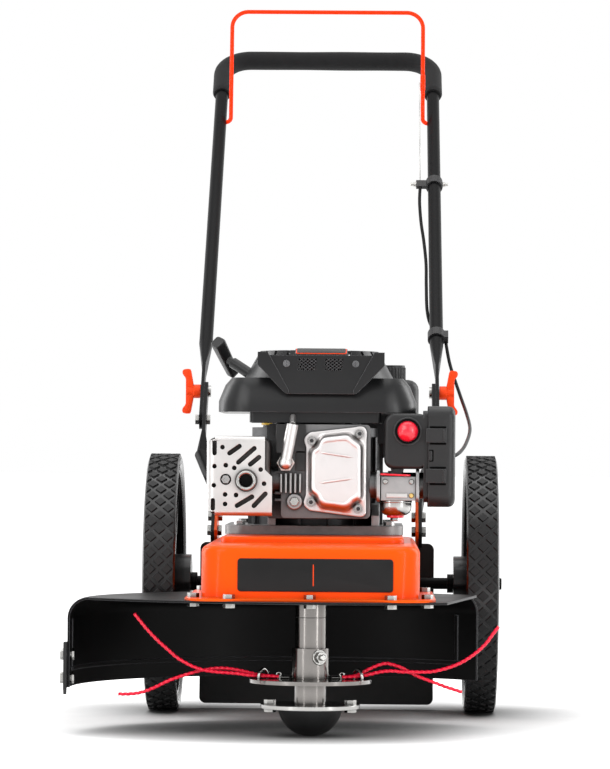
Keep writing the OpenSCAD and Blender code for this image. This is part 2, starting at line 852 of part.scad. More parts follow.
module rim_right() rim(1);

// Spindle and belt drive
module spindle_housing() color("silver") difference() {
  union() {
    translate([0, 0, seam_z]) cylinder(d = spindle_d, h = hood_top - seam_z);
    translate([0, 0, hood_top]) cylinder(d = housing_d, h = housing_top - hood_top);
    translate([0, 0, hood_top]) cylinder(d = housing_flange_d, h = housing_flange_t);
  }
  translate([0, 0, housing_top - 2 * bearing_w - gap]) cylinder(d = bearing_d, h = housing_top);
  translate([0, 0, seam_z - cut]) cylinder(d = shaft_d + 4 * gap, h = housing_top);
}
module spindle_bearings() color("gainsboro") for (i = [1, 2]) difference() {
  translate([0, 0, housing_top - i * bearing_w - (i - 1) * gap]) cylinder(d = bearing_d - fit, h = bearing_w);
  translate([0, 0, hood_top]) cylinder(d = shaft_d + 2 * fit, h = housing_top);
}
module head_bolt_hole() rotate(head_bolt_turn) translate([0, 0, head_bolt_z])
  y_rod(m8_hole, -sleeve_d, sleeve_d);
module spindle_shaft() color("silver") difference() {
  shaft_steps();
  head_bolt_hole();
}
module shaft_steps() {
  translate([0, 0, sleeve_top]) cylinder(d = spindle_d, h = seam_z - gap - sleeve_top);
  translate([0, 0, seam_z - gap - cut]) cylinder(d = shaft_d, h = shaft_top - seam_z + gap + cut);
  translate([0, 0, skid_plate_z]) cylinder(d = spindle_d, h = sleeve_top - skid_plate_z);
}
module pulley(d, bore) difference() {
  rotate_extrude() polygon([
    [bore / 2, 0], [d / 2, 0], [d / 2, pulley_lip / 2],
    [d / 2 - belt_t - belt_sunk - gap, (pulley_t - belt_w) / 2 - gap],
    [d / 2 - belt_t - belt_sunk - gap, (pulley_t + belt_w) / 2 + gap],
    [d / 2, pulley_t - pulley_lip / 2], [d / 2, pulley_t], [bore / 2, pulley_t]
  ]);
  translate([0, 0, pulley_t - pulley_web / 2]) difference() {
    cylinder(r = d / 2 - belt_t - 2 * pulley_lip - pulley_web / 2, h = pulley_t);
    translate([0, 0, -cut]) cylinder(d = bore + 2 * pulley_web, h = 2 * pulley_t);
  }
}
module spindle_pulley() color("dimgray") translate([0, 0, pulley_z]) pulley(spindle_pulley_d, shaft_d + fit);
module crank_pulley() color("dimgray") translate([0, engine_y, pulley_z])
  pulley(crank_pulley_d, crank_d + fit);
// Outline round both pulleys at radii a at the head and b at the crank
module belt_outline(a, b) {
  lean = asin((a - b) / engine_y);
  circle(a);
  translate([0, engine_y]) circle(b);
  polygon([
    [a * cos(lean), a * sin(lean)], [b * cos(lean), engine_y + b * sin(lean)],
    [-b * cos(lean), engine_y + b * sin(lean)], [-a * cos(lean), a * sin(lean)]
  ]);
}
module drive_belt() color("#202020") translate([0, 0, belt_mid - belt_w / 2]) linear_extrude(belt_w)
  difference() {
    belt_outline(spindle_pulley_d / 2 - belt_sunk, crank_pulley_d / 2 - belt_sunk);
    belt_outline(spindle_pulley_d / 2 - belt_sunk - belt_t, crank_pulley_d / 2 - belt_sunk - belt_t);
  }
module crankshaft() color("silver") translate([0, engine_y, pulley_z - sheet]) {
  cylinder(d = crank_d, h = case_top + boss_h - pulley_z + sheet + fin_t);
  translate([0, 0, case_top + boss_h - pulley_z + sheet + gap]) cylinder(r = flywheel_r, h = 2 * fin_t);
}

// Line head
module string_head() color("#c9ccd0") difference() {
  union() {
    translate([0, 0, string_plate_low]) cylinder(d = string_plate_d, h = head_plate_t);
    translate([0, 0, string_plate_low]) cylinder(d = sleeve_d, h = sleeve_top - string_plate_low);
  }
  translate([0, 0, skid_plate_z]) cylinder(d = spindle_d + fit, h = hood_top);
  head_bolt_hole();
  for (side = [-1, 1]) translate([side * post_r, 0, 0]) cylinder(d = m6_hole, h = string_plate_z + cut);
}
module head_bolts() color("silver") {
  rotate(head_bolt_turn) translate([0, -sleeve_d / 2, head_bolt_z]) rotate([90, 0, 0])
    bolt(m8, m8_head, m8_head_h, sleeve_d + m8_head_h, m8_head_h);
  for (side = [-1, 1]) translate([side * skid_bolt_r, 0, skid_plate_z])
    bolt(m8, m8_head, m8_head_h, head_plate_t + m8_head_h, m8_head_h);
}
module line_guides() color("silver") for (side = [-1, 1]) {
  translate([side * guide_r, 0, string_plate_z]) rotate(side * guide_turn) {
    for (y = [-guide_half, guide_half]) translate([0, y, 0]) cylinder(d = guide_d, h = guide_h - guide_half);
    translate([0, 0, guide_h - guide_half]) rotate([0, -90, 0]) rotate([0, 0, -90])
      rotate_extrude(angle = 180) translate([guide_half, 0]) circle(d = guide_d);
  }
  translate([side * post_r, 0, string_plate_z]) {
    cylinder(d = post_d, h = post_h);
    translate([0, 0, post_h + eye_r]) rotate([90, 0, 0])
      rotate_extrude() translate([eye_r, 0]) circle(d = eye_wire);
    mirror([side > 0 ? 0 : 1, 0, 0]) translate([0, 0, eye_wire / 2 + gap]) x_rod(eye_wire, -eye_tail, 0);
    translate([0, 0, -head_plate_t]) cylinder(d = m6, h = head_plate_t + cut);
  }
}
module skid_plate() color("#c9ccd0") difference() {
  translate([0, 0, dome_h]) cylinder(d = skid_plate_d, h = head_plate_t);
  for (side = [-1, 1]) translate([side * skid_bolt_r, 0, dome_h - cut])
    cylinder(d = m8_hole, h = head_plate_t + 2 * cut);
}
// Ball through the rim of the dome's flat and the rim of its top
dome_mid = (pow(dome_d / 2, 2) - pow(dome_flat, 2) + dome_h * dome_h) / (2 * dome_h);
module skid_dome() color("#181818") rotate_extrude() intersection() {
  translate([0, dome_mid]) circle(norm([dome_flat, dome_mid]));
  square([dome_d / 2, dome_h]);
}

module line(route) color("crimson") sweep(route, line_d, 8);
module line_left_upper() line(route_left_upper);
module line_left_lower() line(route_left_lower);
module line_right_upper() line(route_right_upper);
module line_right_lower() line(route_right_lower);

// Engine
module engine_base() color("#8d8d8d") difference() {
  union() {
    translate([0, 0, base_z]) linear_extrude(base_t)
      slab(-base_w / 2, base_w / 2, engine_y - base_front, engine_y + base_rear, base_corner);
    translate([0, engine_y, base_z]) cylinder(r = case_r, h = case_h);
    translate([0, engine_y, case_top - cut]) cylinder(r = boss_r, h = boss_h + cut);
    translate([-block_half, block_y, cyl_z - block_half]) cube([2 * block_half, block_reach, 2 * block_half]);
    for (i = [0 : case_ribs - 1]) translate([0, engine_y, base_z]) rotate(i * 360 / case_ribs)
      translate([case_r - rib_out, -rib_w / 2, 0]) cube([2 * rib_out, rib_w, case_h - base_t]);
    for (turn = post_turns) translate([0, engine_y, case_top - cut]) rotate(turn)
      translate([shroud_post_r, 0, 0]) cylinder(d = shroud_post_d, h = shroud_z - case_top + cut);
    translate([dip_x, dip_y, base_z]) cylinder(d = dip_neck_d, h = dip_neck_h);
    translate([dip_x - rib_w, engine_y, base_z]) cube([2 * rib_w, dip_y - engine_y, case_h / 2]);
    translate([lever_x - lever_t, lever_y - lever_w, lever_z - lever_w]) mirror([1, 0, 0])
      cube([lever_x - case_r + rib_out, 2 * lever_w, 2 * lever_w]);
    translate([0, lever_y, lever_z]) x_rod(lever_pin_d, case_r - rib_out, lever_x + 2 * lever_t);
  }
  translate([0, engine_y, base_z - cut]) cylinder(d = crank_d + 2 * fit, h = 2 * case_h);
  translate([dip_x, dip_y, base_z + dip_neck_h - dip_len - sheet]) cylinder(d = dip_bore_d, h = dip_neck_h);
  for (p = engine_bolts) translate([p.x, p.y, base_z - cut]) cylinder(d = m8_hole, h = base_t + 2 * cut);
}

module cylinder_port(x0, x1, y, z, d) translate([0, y, z]) x_rod(d, x0, x1);
port_y = head_front + head_t / 2;
fin_step = (fin_rear - head_front - head_t) / fins;
module engine_cylinder() color("#a5a5a5") difference() {
  union() {
    translate([0, 0, cyl_z]) y_rod(2 * core_r, head_front + cut, fin_rear);
    for (i = [0 : fins - 1]) translate([0, fin_rear - fin_t - i * fin_step, cyl_z])
      rotate([-90, 0, 0]) linear_extrude(fin_t) slab(-fin_half, fin_half, -fin_half, fin_half, shoulder);
    translate([0, head_front + head_t, cyl_z]) rotate([90, 0, 0]) linear_extrude(head_t)
      slab(head_left + head_fin_reach, head_right, -head_half, head_half, shoulder);
    for (i = [0 : head_fin_n - 1])
      translate([head_left, head_front, plug_z - head_fin_drop - i * head_fin_pitch])
        cube([head_fin_reach + cut, head_t, fin_t]);
    for (x = [-front_post_x, front_post_x]) translate([x, front_post_y, cyl_z])
      cylinder(d = shroud_post_d, h = shroud_z - cyl_z);
    cylinder_port(guard_x + guard_w - muffler_in, head_left + head_fin_reach + cut, port_y, outlet_z,
      throat_d);
    cylinder_port(head_right - cut, carb_x, port_y, carb_z + carb_h / 2, throat_d);
  }
  translate([plug_x, 0, plug_z]) y_rod(plug_d + 2 * bolt_gap, head_front - cut, head_front + plug_len);
  for (s = cover_bolt_shares) translate(cover_at(s)) y_rod(m6_hole, 0, plug_len);
}

function cover_at(s) = [
  cover_left + s[0] * cover_w, head_front, cyl_z - cover_h / 2 + s[1] * cover_h
];
cover_points = [for (s = cover_shares) [s[0] * cover_w - cover_w / 2, s[1] * cover_h - cover_h / 2]];
module cover_plane() translate([cover_left + cover_w / 2, head_front, cyl_z]) rotate([90, 0, 0]) children();
module valve_cover() color("#bdbdbd") difference() {
  cover_plane() {
    linear_extrude(cover_flange) polygon(cover_points);
    hull() {
      linear_extrude(cover_flange + cut) polygon(cover_panel_low_share * cover_points);
      linear_extrude(cover_t) polygon(cover_panel_share * cover_points);
    }
    for (s = cover_crease_shares) rod(
      [s[0] * cover_w - cover_w / 2, s[1] * cover_h - cover_h / 2, cover_t],
      [s[2] * cover_w - cover_w / 2, s[3] * cover_h - cover_h / 2, cover_t], crease_d);
  }
  for (s = cover_bolt_shares) translate(cover_at(s)) {
    y_rod(m6_hole, -cover_flange - cut, cut);
    y_rod(m6_head + 2 * sheet, -cover_t - cut, -cover_flange);
  }
}

module spark_plug() color("white") translate([plug_x, 0, plug_z]) {
  y_rod(plug_d, head_front - fit, head_front + plug_len - sheet);
  translate([0, head_front, 0]) rotate([90, 0, 0])
    cylinder(d = plug_hex / cos(180 / hex), h = plug_len / 2, $fn = hex);
  y_rod(plug_tip_d, head_front - plug_len, head_front);
}
module spark_plug_boot() color("silver") {
  start = [plug_x, head_front - plug_len - gap, plug_z];
  turn = start - [0, (boot_d + sheet) / 2, 0];
  translate([plug_x, 0, plug_z]) y_rod(boot_d + sheet, turn.y, start.y);
  translate(turn) sphere(d = boot_d + sheet);
  rod(turn, turn + [boot_lean, 0, boot_up], boot_d);
  rod(turn + [boot_lean, 0, boot_up], turn + [boot_lean, plug_len, boot_up + shroud_edge], boot_d / 2);
}

// Guard and muffler
function guard_at(s) = [guard_x + s[0] * guard_w, guard_z + s[1] * guard_h];
guard_bolt = guard_at(guard_bolt_shares);
module guard_holes() {
  for (s = guard_slot_shares) pill(guard_at([s[0], s[1]]), guard_at([s[2], s[3]]), guard_slot_w);
  for (s = guard_hole_shares) translate(guard_at(s)) circle(d = guard_hole_d);
  translate(guard_at(guard_bolt_shares)) circle(d = m8_head);
  translate([outlet_x, outlet_z]) circle(d = outlet_ring_d + 2 * gap);
}
module muffler_guard() color("silver") {
  translate([0, guard_y, 0]) rotate([90, 0, 0]) translate([0, 0, -guard_t]) linear_extrude(guard_t)
    difference() {
      slab(guard_x, guard_x + guard_w, guard_z, guard_z + guard_h, shoulder);
      guard_holes();
    }
  translate([guard_x, guard_y, guard_z + guard_fold]) cube([guard_t, guard_wrap, guard_h - 2 * guard_fold]);
  for (z = [guard_z, guard_z + guard_h - guard_t]) translate([guard_x + guard_fold, guard_y, z])
    cube([guard_w - 2 * guard_fold, guard_wrap / 2, guard_t]);
}
module muffler() color("#9a9a9a") difference() {
  union() {
    translate([0, guard_y + guard_t + muffler_back + muffler_deep, 0]) rotate([90, 0, 0])
      soft_box(guard_x + guard_t, guard_x + guard_w - muffler_in, guard_z + guard_t + fit,
        guard_z + guard_h - guard_t - fit, 0, muffler_deep, muffler_edge, muffler_edge / 2);
    translate([outlet_x, 0, outlet_z]) y_rod(outlet_ring_d, guard_y - outlet_out, guard_y + outlet_deep);
  }
  translate([outlet_x, 0, outlet_z])
    y_rod(outlet_d, guard_y - outlet_out - cut, guard_y + outlet_deep - outlet_out);
}

// Fuel side
module carburettor() color("#b5b5b5") translate([0, port_y, carb_z + carb_h / 2]) {
  x_rod(throat_d, carb_x, carb_x + carb_w);
  translate([carb_x + carb_in, -carb_deep / 2, -carb_h / 2]) cube([carb_block_w, carb_deep, carb_block_h]);
  x_rod(throat_d + 2 * sheet, carb_x, carb_x + sheet);
  translate([bowl_x, 0, carb_cap_z]) cylinder(d = carb_cap_d, h = carb_cap_h);
}
module float_bowl() color("#8a8a8a") translate([bowl_x, port_y, carb_z - bowl_h]) {
  cylinder(d1 = bowl_d - 2 * sheet, d2 = bowl_d, h = bowl_h);
  translate([0, 0, -drain_h]) cylinder(d = drain_d / cos(180 / hex), h = drain_h + cut, $fn = hex);
}
module air_cleaner_base() color("#1a1a1a") difference() {
  union() {
    translate([0, cleaner_y + cleaner_deep, 0]) rotate([90, 0, 0])
      soft_box(cleaner_left, cleaner_left + cleaner_w, cleaner_z, cleaner_z + cleaner_h, 0, cleaner_deep,
        cleaner_corner, cleaner_edge);
    translate([primer_x, 0, primer_z]) y_rod(primer_ring_d, cleaner_y - primer_ring_h, cleaner_y + cut);
    translate([carb_x + carb_w, 0, 0]) rotate([90, 0, 90])
      linear_extrude(cleaner_left + cleaner_w - carb_x - carb_w)
        slab(lid_y + 2 * sheet, lid_y + lid_deep - 2 * sheet, lid_z + 2 * sheet, lid_z + lid_h - 2 * sheet,
          lid_corner - 2 * sheet);
  }
  translate([primer_x, 0, primer_z])
    y_rod(primer_d + 2 * gap, cleaner_y - primer_ring_h - cut, cleaner_y + primer_deep);
}
module primer_bulb() color("red") translate([primer_x, cleaner_y, primer_z]) rotate([90, 0, 0])
  rotate_extrude() difference() {
    union() {
      translate([0, -primer_deep / 2]) square([primer_d / 2, primer_deep / 2]);
      intersection() {
        translate([0, primer_out - primer_ball]) circle(primer_ball);
        square([primer_d / 2, primer_out]);
      }
    }
    translate([-primer_d, -primer_deep]) square([primer_d, 2 * primer_deep]);
  }
module air_cleaner_cover() color("#1a1a1a") {
  lid_x = cleaner_left + cleaner_w;
  translate([lid_x, 0, 0]) rotate([90, 0, 90])
    soft_box(lid_y, lid_y + lid_deep, lid_z, lid_z + lid_h, 0, lid_w, lid_corner, lid_edge);
  for (s = latch_shares) translate([lid_x - latch_w * latch_start_share, lid_y - latch_t, lid_z + s * lid_h])
    cube([latch_w, 2 * latch_t, latch_h]);
}

// Blower shroud with its recoil housing and rope guide
grip_at = [grip_x, grip_y, grip_z];
pull = unit(starter_pull);
guide_mouth = grip_at - (grip_stem + gap) * pull;
shroud_top = shroud_z + shroud_h;
module shroud_ring(in, step) slab(shroud_x - shroud_w / 2 + in + step, shroud_x + shroud_w / 2 - in - step,
  shroud_front + in + step, shroud_front + shroud_len - in - step, shroud_corner - in - step, $fn = soft_fn);
module shroud_shell(in) hull() {
  translate([0, 0, shroud_z + in]) linear_extrude(shroud_lower) shroud_ring(in, 0);
  translate([0, 0, shroud_z + in]) linear_extrude(shroud_mid - in) shroud_ring(in, shroud_step);
  translate([0, 0, shroud_z + in]) linear_extrude(shroud_body - 2 * in) shroud_ring(in, shroud_in);
}
// Front scoop between its two ridges, and the recoil housing behind it
module scoop(in) translate([panel_x, shroud_front - panel_out + panel_deep, shroud_z]) rotate([90, 0, 0])
  linear_extrude(panel_deep - in) polygon([
    [in - panel_low_w / 2, panel_low + in], [panel_low_w / 2 - in, panel_low + in],
    [panel_top_w / 2 - in, shroud_h - panel_drop - in], [in - panel_top_w / 2, shroud_h - panel_drop - in]
  ]);
module ridge(side) hull() {
  translate([panel_x + side * panel_top_w / 2, shroud_front - panel_out, shroud_z + shroud_h - panel_drop])
    translate([-ridge_w / 2, -ridge_out, -ridge_w]) cube([ridge_w, ridge_len, ridge_w + ridge_out]);
  translate([panel_x + side * panel_low_w / 2, shroud_front - panel_out, shroud_z + panel_low])
    translate([-ridge_tip / 2, -ridge_tip / 2, 0]) cube([ridge_tip, 2 * ridge_tip, ridge_tip]);
}
module recoil(in) translate([shroud_x, engine_y, shroud_z + recoil_low - in]) cylinder(r1 = recoil_r - in,
  r2 = recoil_top_r - in, h = shroud_h - recoil_low);
module badge_seat() translate([panel_x - badge_w / 2, shroud_front - panel_out, shroud_top - panel_drop])
  rotate([90, 0, 90]) linear_extrude(badge_w)
    polygon([[shoulder, -sheet], [badge_deep, -sheet], [badge_deep, badge_h], [shoulder, sheet / 2]]);
module duct(in) translate([0, 0, duct_z]) linear_extrude(shroud_z - duct_z + shroud_wall / 2)
  slab(duct_left + in, duct_right - in, duct_front + in, duct_rear - in, shoulder);
module vent_holes() for (x = [-vent_split / 2, vent_split / 2], i = [0 : vent_nx - 1], j = [0 : vent_nz - 1])
  translate([
    panel_x + x + (i + (j % 2) / 2 - vent_nx / 2) * vent_w / vent_nx,
    shroud_z + vent_rise + (j - (vent_nz - 1) / 2) * vent_h / vent_nz
  ]) rotate(45) square([vent_hole, vent_hole], center = true);
module blower_shroud() color("#191919") difference() {
  union() {
    difference() {
      union() {
        shroud_shell(0);
        scoop(0);
        recoil(0);
        for (side = [-1, 1]) ridge(side);
        badge_seat();
        duct(0);
      }
      shroud_shell(shroud_wall);
      scoop(shroud_wall);
      recoil(shroud_wall);
      translate([0, 0, -cut]) duct(shroud_wall);
    }
    rod(guide_mouth, guide_mouth - guide_arm_len * pull, guide_arm_d);
  }
  for (i = [0 : recoil_slots - 1]) translate([shroud_x, engine_y, shroud_top - 2 * shroud_edge])
    rotate(i * 360 / recoil_slots) translate([recoil_r * recoil_slot_in_share, -recoil_slot_w / 2, 0])
      cube([recoil_r * recoil_slot_len_share, recoil_slot_w, shroud_h]);
  translate([0, shroud_front + shroud_edge, 0]) rotate([90, 0, 0]) linear_extrude(2 * shroud_edge)
    vent_holes();
  translate([0, engine_y, shroud_z - cut]) cylinder(r = flywheel_r + shoulder, h = shroud_lower);
  rod(guide_mouth + cut * pull, guide_mouth - rope_hole_deep * pull, rope_d + sheet / 2);
}

module engine_fasteners() color("silver") {
  for (p = engine_bolts) translate([p.x, p.y, base_z + base_t])
    bolt(m8, m8_head, m8_head_h, base_t + platform_h + sheet);
  for (s = cover_bolt_shares) translate(cover_at(s)) translate([0, -cover_flange, 0]) rotate([90, 0, 0])
    bolt(m6, m6_head, m6_head_h, cover_flange + plug_len - sheet);
  for (x = [-screw_split / 2, screw_split / 2])
    translate([panel_x + x, shroud_front - panel_out, shroud_z + screw_rise]) rotate([90, 0, 0])
      difference() {
        cylinder(d = screw_d, h = screw_h);
        translate([-screw_slot / 2, -screw_d, screw_h - screw_slot]) cube([screw_slot, 2 * screw_d, screw_d]);
      }
  translate([guard_bolt.x, guard_y + guard_t, guard_bolt.y]) rotate([90, 0, 0]) {
    cylinder(d = m6_head / cos(180 / hex), h = guard_t + m6_head_h / 2, $fn = hex);
    translate([0, 0, -muffler_back]) cylinder(d = m6, h = muffler_back + guard_t);
  }
}

module fuel_tank() color("#1e1e1e") {
  soft_box(tank_left, tank_left + tank_w, tank_y, tank_y + tank_deep, tank_z, tank_z + tank_h,
    tank_corner, tank_edge);
  translate([neck_x, neck_y, tank_z + tank_h - cut]) cylinder(d = neck_d, h = neck_h + cut);
  difference() {
    translate([tank_left + tank_corner, engine_y + case_r / 2, tank_z])
      cube([tank_w / 4, tank_y - engine_y - case_r / 2 + tank_corner, tank_h / 4]);
    translate([0, engine_y, 0]) cylinder(r = case_r + rib_out + fit, h = shroud_z);
  }
}
module fuel_cap() color("#101010") translate([neck_x, neck_y, tank_z + tank_h + gap]) difference() {
  union() {
    cylinder(d = fuel_cap_d - cap_rib_d, h = fuel_cap_h);
    for (i = [0 : cap_ribs - 1]) rotate(i * 360 / cap_ribs)
      translate([fuel_cap_d / 2 - cap_rib_d / 2, 0, 0]) cylinder(d = cap_rib_d, h = fuel_cap_h - sheet);
  }
  translate([0, 0, -cut]) cylinder(d = neck_d + 2 * fit, h = neck_h + cut);
}
module oil_dipstick() color("#e8c21a") translate([dip_x, dip_y, base_z + dip_neck_h + gap]) {
  cylinder(d = dip_cap_d, h = dip_disc_h);
  translate([-dip_cap_d / 2, -dip_bar_w / 2, 0]) cube([dip_cap_d, dip_bar_w, dip_cap_h]);
  translate([0, 0, -dip_len]) cylinder(d = dip_rod_d, h = dip_len + cut);
  translate([0, 0, -dip_cap_h]) cylinder(d = dip_bore_d - 2 * fit, h = dip_cap_h + cut);
}

// Starter grip on its rope, pulled along starter_pull
module starter_grip() color("#121212") {
  translate(grip_at) rotate([grip_lean, grip_roll, 0]) rotate_extrude() intersection() {
    slab(-grip_rod_d / 2, grip_rod_d / 2, -grip_half - grip_rod_d / 2, grip_half + grip_rod_d / 2, grip_end);
    translate([0, -2 * grip_half]) square([grip_rod_d, 4 * grip_half]);
  }
  rod(grip_at, grip_at - grip_stem * pull, grip_stem_d);
}
module starter_rope() color("#222222")
  rod(grip_at - grip_stem * pull, guide_mouth - (rope_hole_deep - sheet) * pull, rope_d);

module brake_lever() color("silver") translate([lever_x, lever_y, lever_z]) rotate([0, 90, 0]) difference() {
  linear_extrude(lever_t) pill([0, 0], [lever_len, 0], lever_w);
  translate([0, 0, -cut]) cylinder(d = lever_pin_d + 2 * fit, h = lever_t + 2 * cut);
}
module control_cable_lower() color("#181818") sweep(smooth(route_cable, 3), cable_d, 10, [0, 0, 1]);

// Handle
module flat_bar(x, v0, v1) translate([x - flat_t / 2, 0, 0]) rotate([90, 0, 90]) linear_extrude(flat_t)
  pill([v0 + flat_w / 2, 0], [v1 - flat_w / 2, 0], flat_w);
module handle_hole(v, d) translate([0, v, 0]) x_rod(d, -handle_span, handle_span);
low_foot = [foot_x, foot_v + foot_half + foot_blend, 0];
low_head = [low_flat_x, -low_flat_end - low_blend, 0];
low_run = unit(low_head - low_foot);
module tube_end(at) translate(at) rotate([-90, 0, 0]) cylinder(d = handle_d - cut, h = cut, $fn = soft_fn);
module flat_end_face(x, v) translate([x - flat_t / 2, v, -flat_w / 2]) cube([flat_t, cut, flat_w]);
module lower_handle(side) color("#1b1b1b") on_handle() mirror([side > 0 ? 0 : 1, 0, 0]) difference() {
  union() {
    flat_bar(foot_x, foot_v - foot_half, foot_v + foot_half);
    flat_bar(low_flat_x, -low_flat_end, knob_reach + flat_end);
    rod(low_foot - blend_in * low_run, low_head + blend_in * low_run, handle_d);
    hull() {
      flat_end_face(foot_x, foot_v + foot_half - flat_w / 2);
      tube_end(low_foot);
    }
    hull() {
      flat_end_face(low_flat_x, flat_w / 2 - low_flat_end);
      tube_end(low_head - [0, cut, 0]);
    }
  }
  handle_hole(0, m8_hole);
  handle_hole(knob_reach, m8_hole);
  for (v = [-foot_bolt_v, foot_bolt_v]) handle_hole(foot_v + v, m8_hole);
}
module lower_handle_left() lower_handle(-1);
module lower_handle_right() lower_handle(1);

// Slot that lets the knob's bolt leave the flat as the handle folds forward
slot_turn = 18;
module fold_slot() for (side = [-1, 1]) translate([side * tube_x - flat_t, 0, 0]) rotate([0, 90, 0])
  rotate([0, 0, 90]) {
    rotate(-slot_turn) rotate_extrude(angle = slot_turn) translate([knob_reach - m8_hole / 2, 0])
      square([m8_hole, 2 * flat_t]);
    translate([knob_reach, 0, 0]) cylinder(d = m8_hole, h = 2 * flat_t);
  }
module upper_handle() color("#1b1b1b") on_handle() difference() {
  union() {
    for (side = [-1, 1]) {
      flat_bar(side * tube_x, -flat_end, flat_len);
      hull() {
        translate([side * tube_x - flat_t / 2, flat_len - flat_w / 2, -flat_w / 2])
          cube([flat_t, cut, flat_w]);
        translate([side * tube_x, flat_len + flat_blend - cut, 0]) rotate([-90, 0, 0])
          cylinder(d = handle_d, h = cut, $fn = soft_fn);
      }
    }
    u_rod(handle_d, tube_x, flat_len + flat_blend - cut, handle_len, handle_bend);
  }
  u_rod(handle_d - 2 * handle_wall, tube_x, flat_len + flat_blend + cut, handle_len, handle_bend);
  handle_hole(0, m8 + 2 * fit);
  fold_slot();
  for (side = [-1, 1]) mirror([side > 0 ? 0 : 1, 0, 0]) translate([0, bail_v, 0])
    x_rod(bail_d + 2 * fit, tube_x - handle_d, tube_x);
}
module foam_grip() color("#161616") on_handle() difference() {
  u_rod(grip_d, tube_x, handle_len - handle_bend - grip_leg, handle_len, handle_bend);
  u_rod(handle_d + fit, tube_x, handle_len - handle_bend - grip_leg - cut, handle_len, handle_bend);
}
module bail() color("orangered") on_bail() {
  u_rod(bail_d, bail_x, bail_hook, bail_len, bail_bend);
  for (side = [-1, 1]) mirror([side > 0 ? 0 : 1, 0, 0]) {
    translate([bail_x + bail_hook, bail_hook, 0]) rotate(180) rotate_extrude(angle = 90)
      translate([bail_hook, 0]) circle(d = bail_d);
    x_rod(bail_d, bail_x + bail_hook, bail_x + bail_hook + bail_stub);
  }
  translate([bail_x, crimp_low, 0]) rotate([-90, 0, 0]) cylinder(d = crimp_d, h = crimp_h);
}

// Cable along the right tube, with its bracket and clip
wire_x = bail_x - crimp_d / 2 - wire_d / 2 - gap;
wire_top = [wire_x, bail_y + (crimp_low + crimp_h / 2) * cos(bail_rest),
  bail_z + (crimp_low + crimp_h / 2) * sin(bail_rest)];
function handle_point(x, v, w) = [
  x, pivot_y + v * cos(handle_slope) - w * sin(handle_slope),
  pivot_z + v * sin(handle_slope) + w * cos(handle_slope)
];
wire_low = handle_point(wire_x, bracket_v + holder_h / 2 + wire_d / 2, 0);
module holder(v) translate([tube_x, v, 0]) rotate([-90, 0, 0]) translate([0, 0, -holder_h / 2]) difference() {
  cylinder(d = holder_d, h = holder_h);
  translate([0, 0, -cut]) cylinder(d = handle_d + fit, h = holder_h + 2 * cut);
}
module cable_holders() color("#161616") on_handle() {
  holder(bracket_v);
  holder(clip_v);
  translate([wire_x - bracket_arm, bracket_v - holder_h / 2, -bracket_arm / 2])
    cube([tube_x - handle_d / 2 - sheet / 2 - wire_x + bracket_arm, holder_h, bracket_arm]);
  translate([tube_x + holder_d / 2 - sheet / 2, clip_v - holder_h / 2, -bracket_arm])
    cube([bracket_arm, holder_h, 2 * bracket_arm]);
}
module control_cable_upper() color("#181818") on_handle()
  sweep(smooth(route_cable_upper, 3), cable_d, 10, [0, 0, 1]);
module inner_wire() color("silver") rod(wire_low, wire_top, wire_d);

// Fold bolts and wing knobs
module handle_bolts() color("silver") on_handle() for (side = [-1, 1]) mirror([side > 0 ? 0 : 1, 0, 0]) {
  outer = tube_x + flat_t / 2 + gap;
  inner = low_flat_x - flat_t / 2;
  translate([outer, 0, 0]) rotate([0, 90, 0])
    bolt(m8, m8_head, m8_head_h, outer - inner + m8_head_h, m8_head_h);
  translate([0, knob_reach, 0]) {
    x_rod(m8, inner, outer + knob_bolt_in);
    x_rod(carriage_d, inner - carriage_h, inner);
  }
  for (v = [-foot_bolt_v, foot_bolt_v]) translate([foot_x + flat_t / 2, foot_v + v, 0]) rotate([0, 90, 0])
    bolt(m8, m8_head, m8_head_h, flat_t + lug_t + m8_head_h, m8_head_h);
}
module knob(side) color("orangered") mirror([side > 0 ? 0 : 1, 0, 0])
  translate(handle_point(tube_x + flat_t / 2 + 2 * gap, knob_reach, 0)) difference() {
    union() {
      x_rod(knob_hub_d, 0, knob_hub_w + knob_fillet + knob_wing / 2);
      translate([0, knob_t / 2, 0]) rotate([90, 0, 0]) linear_extrude(knob_t) for (s = [-1, 1])
        pill([knob_hub_w + knob_fillet, 0], [knob_tip, s * (knob_span - knob_wing) / 2], knob_wing);
    }
    x_rod(m8 + 2 * fit, -cut, knob_bolt_in);
  }
module knob_left() knob(-1);
module knob_right() knob(1);

deck();
debris_hood();
hood_flap();
chassis_bolts();
rear_flap();
axle();
axle_nuts();
axle_brackets();
spindle_housing();
spindle_bearings();
drive_belt();
lower_handle_left();
lower_handle_right();
handle_bolts();
engine_base();
engine_cylinder();
valve_cover();
spark_plug();
spark_plug_boot();
muffler();
muffler_guard();
carburettor();
float_bowl();
air_cleaner_base();
air_cleaner_cover();
blower_shroud();
fuel_tank();
engine_fasteners();
control_cable_lower();
primer_bulb();
fuel_cap();
oil_dipstick();
starter_grip();
starter_rope();
brake_lever();
crankshaft();
crank_pulley();
spindle_shaft();
spindle_pulley();
string_head();
head_bolts();
line_guides();
skid_plate();
skid_dome();
line_left_upper();
line_left_lower();
line_right_upper();
line_right_lower();
tyre_left();
rim_left();
tyre_right();
rim_right();
upper_handle();
foam_grip();
cable_holders();
control_cable_upper();
bail();
inner_wire();
knob_left();
knob_right();
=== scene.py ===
import math
import random

import bmesh
import bpy
from mathutils import Matrix, Vector


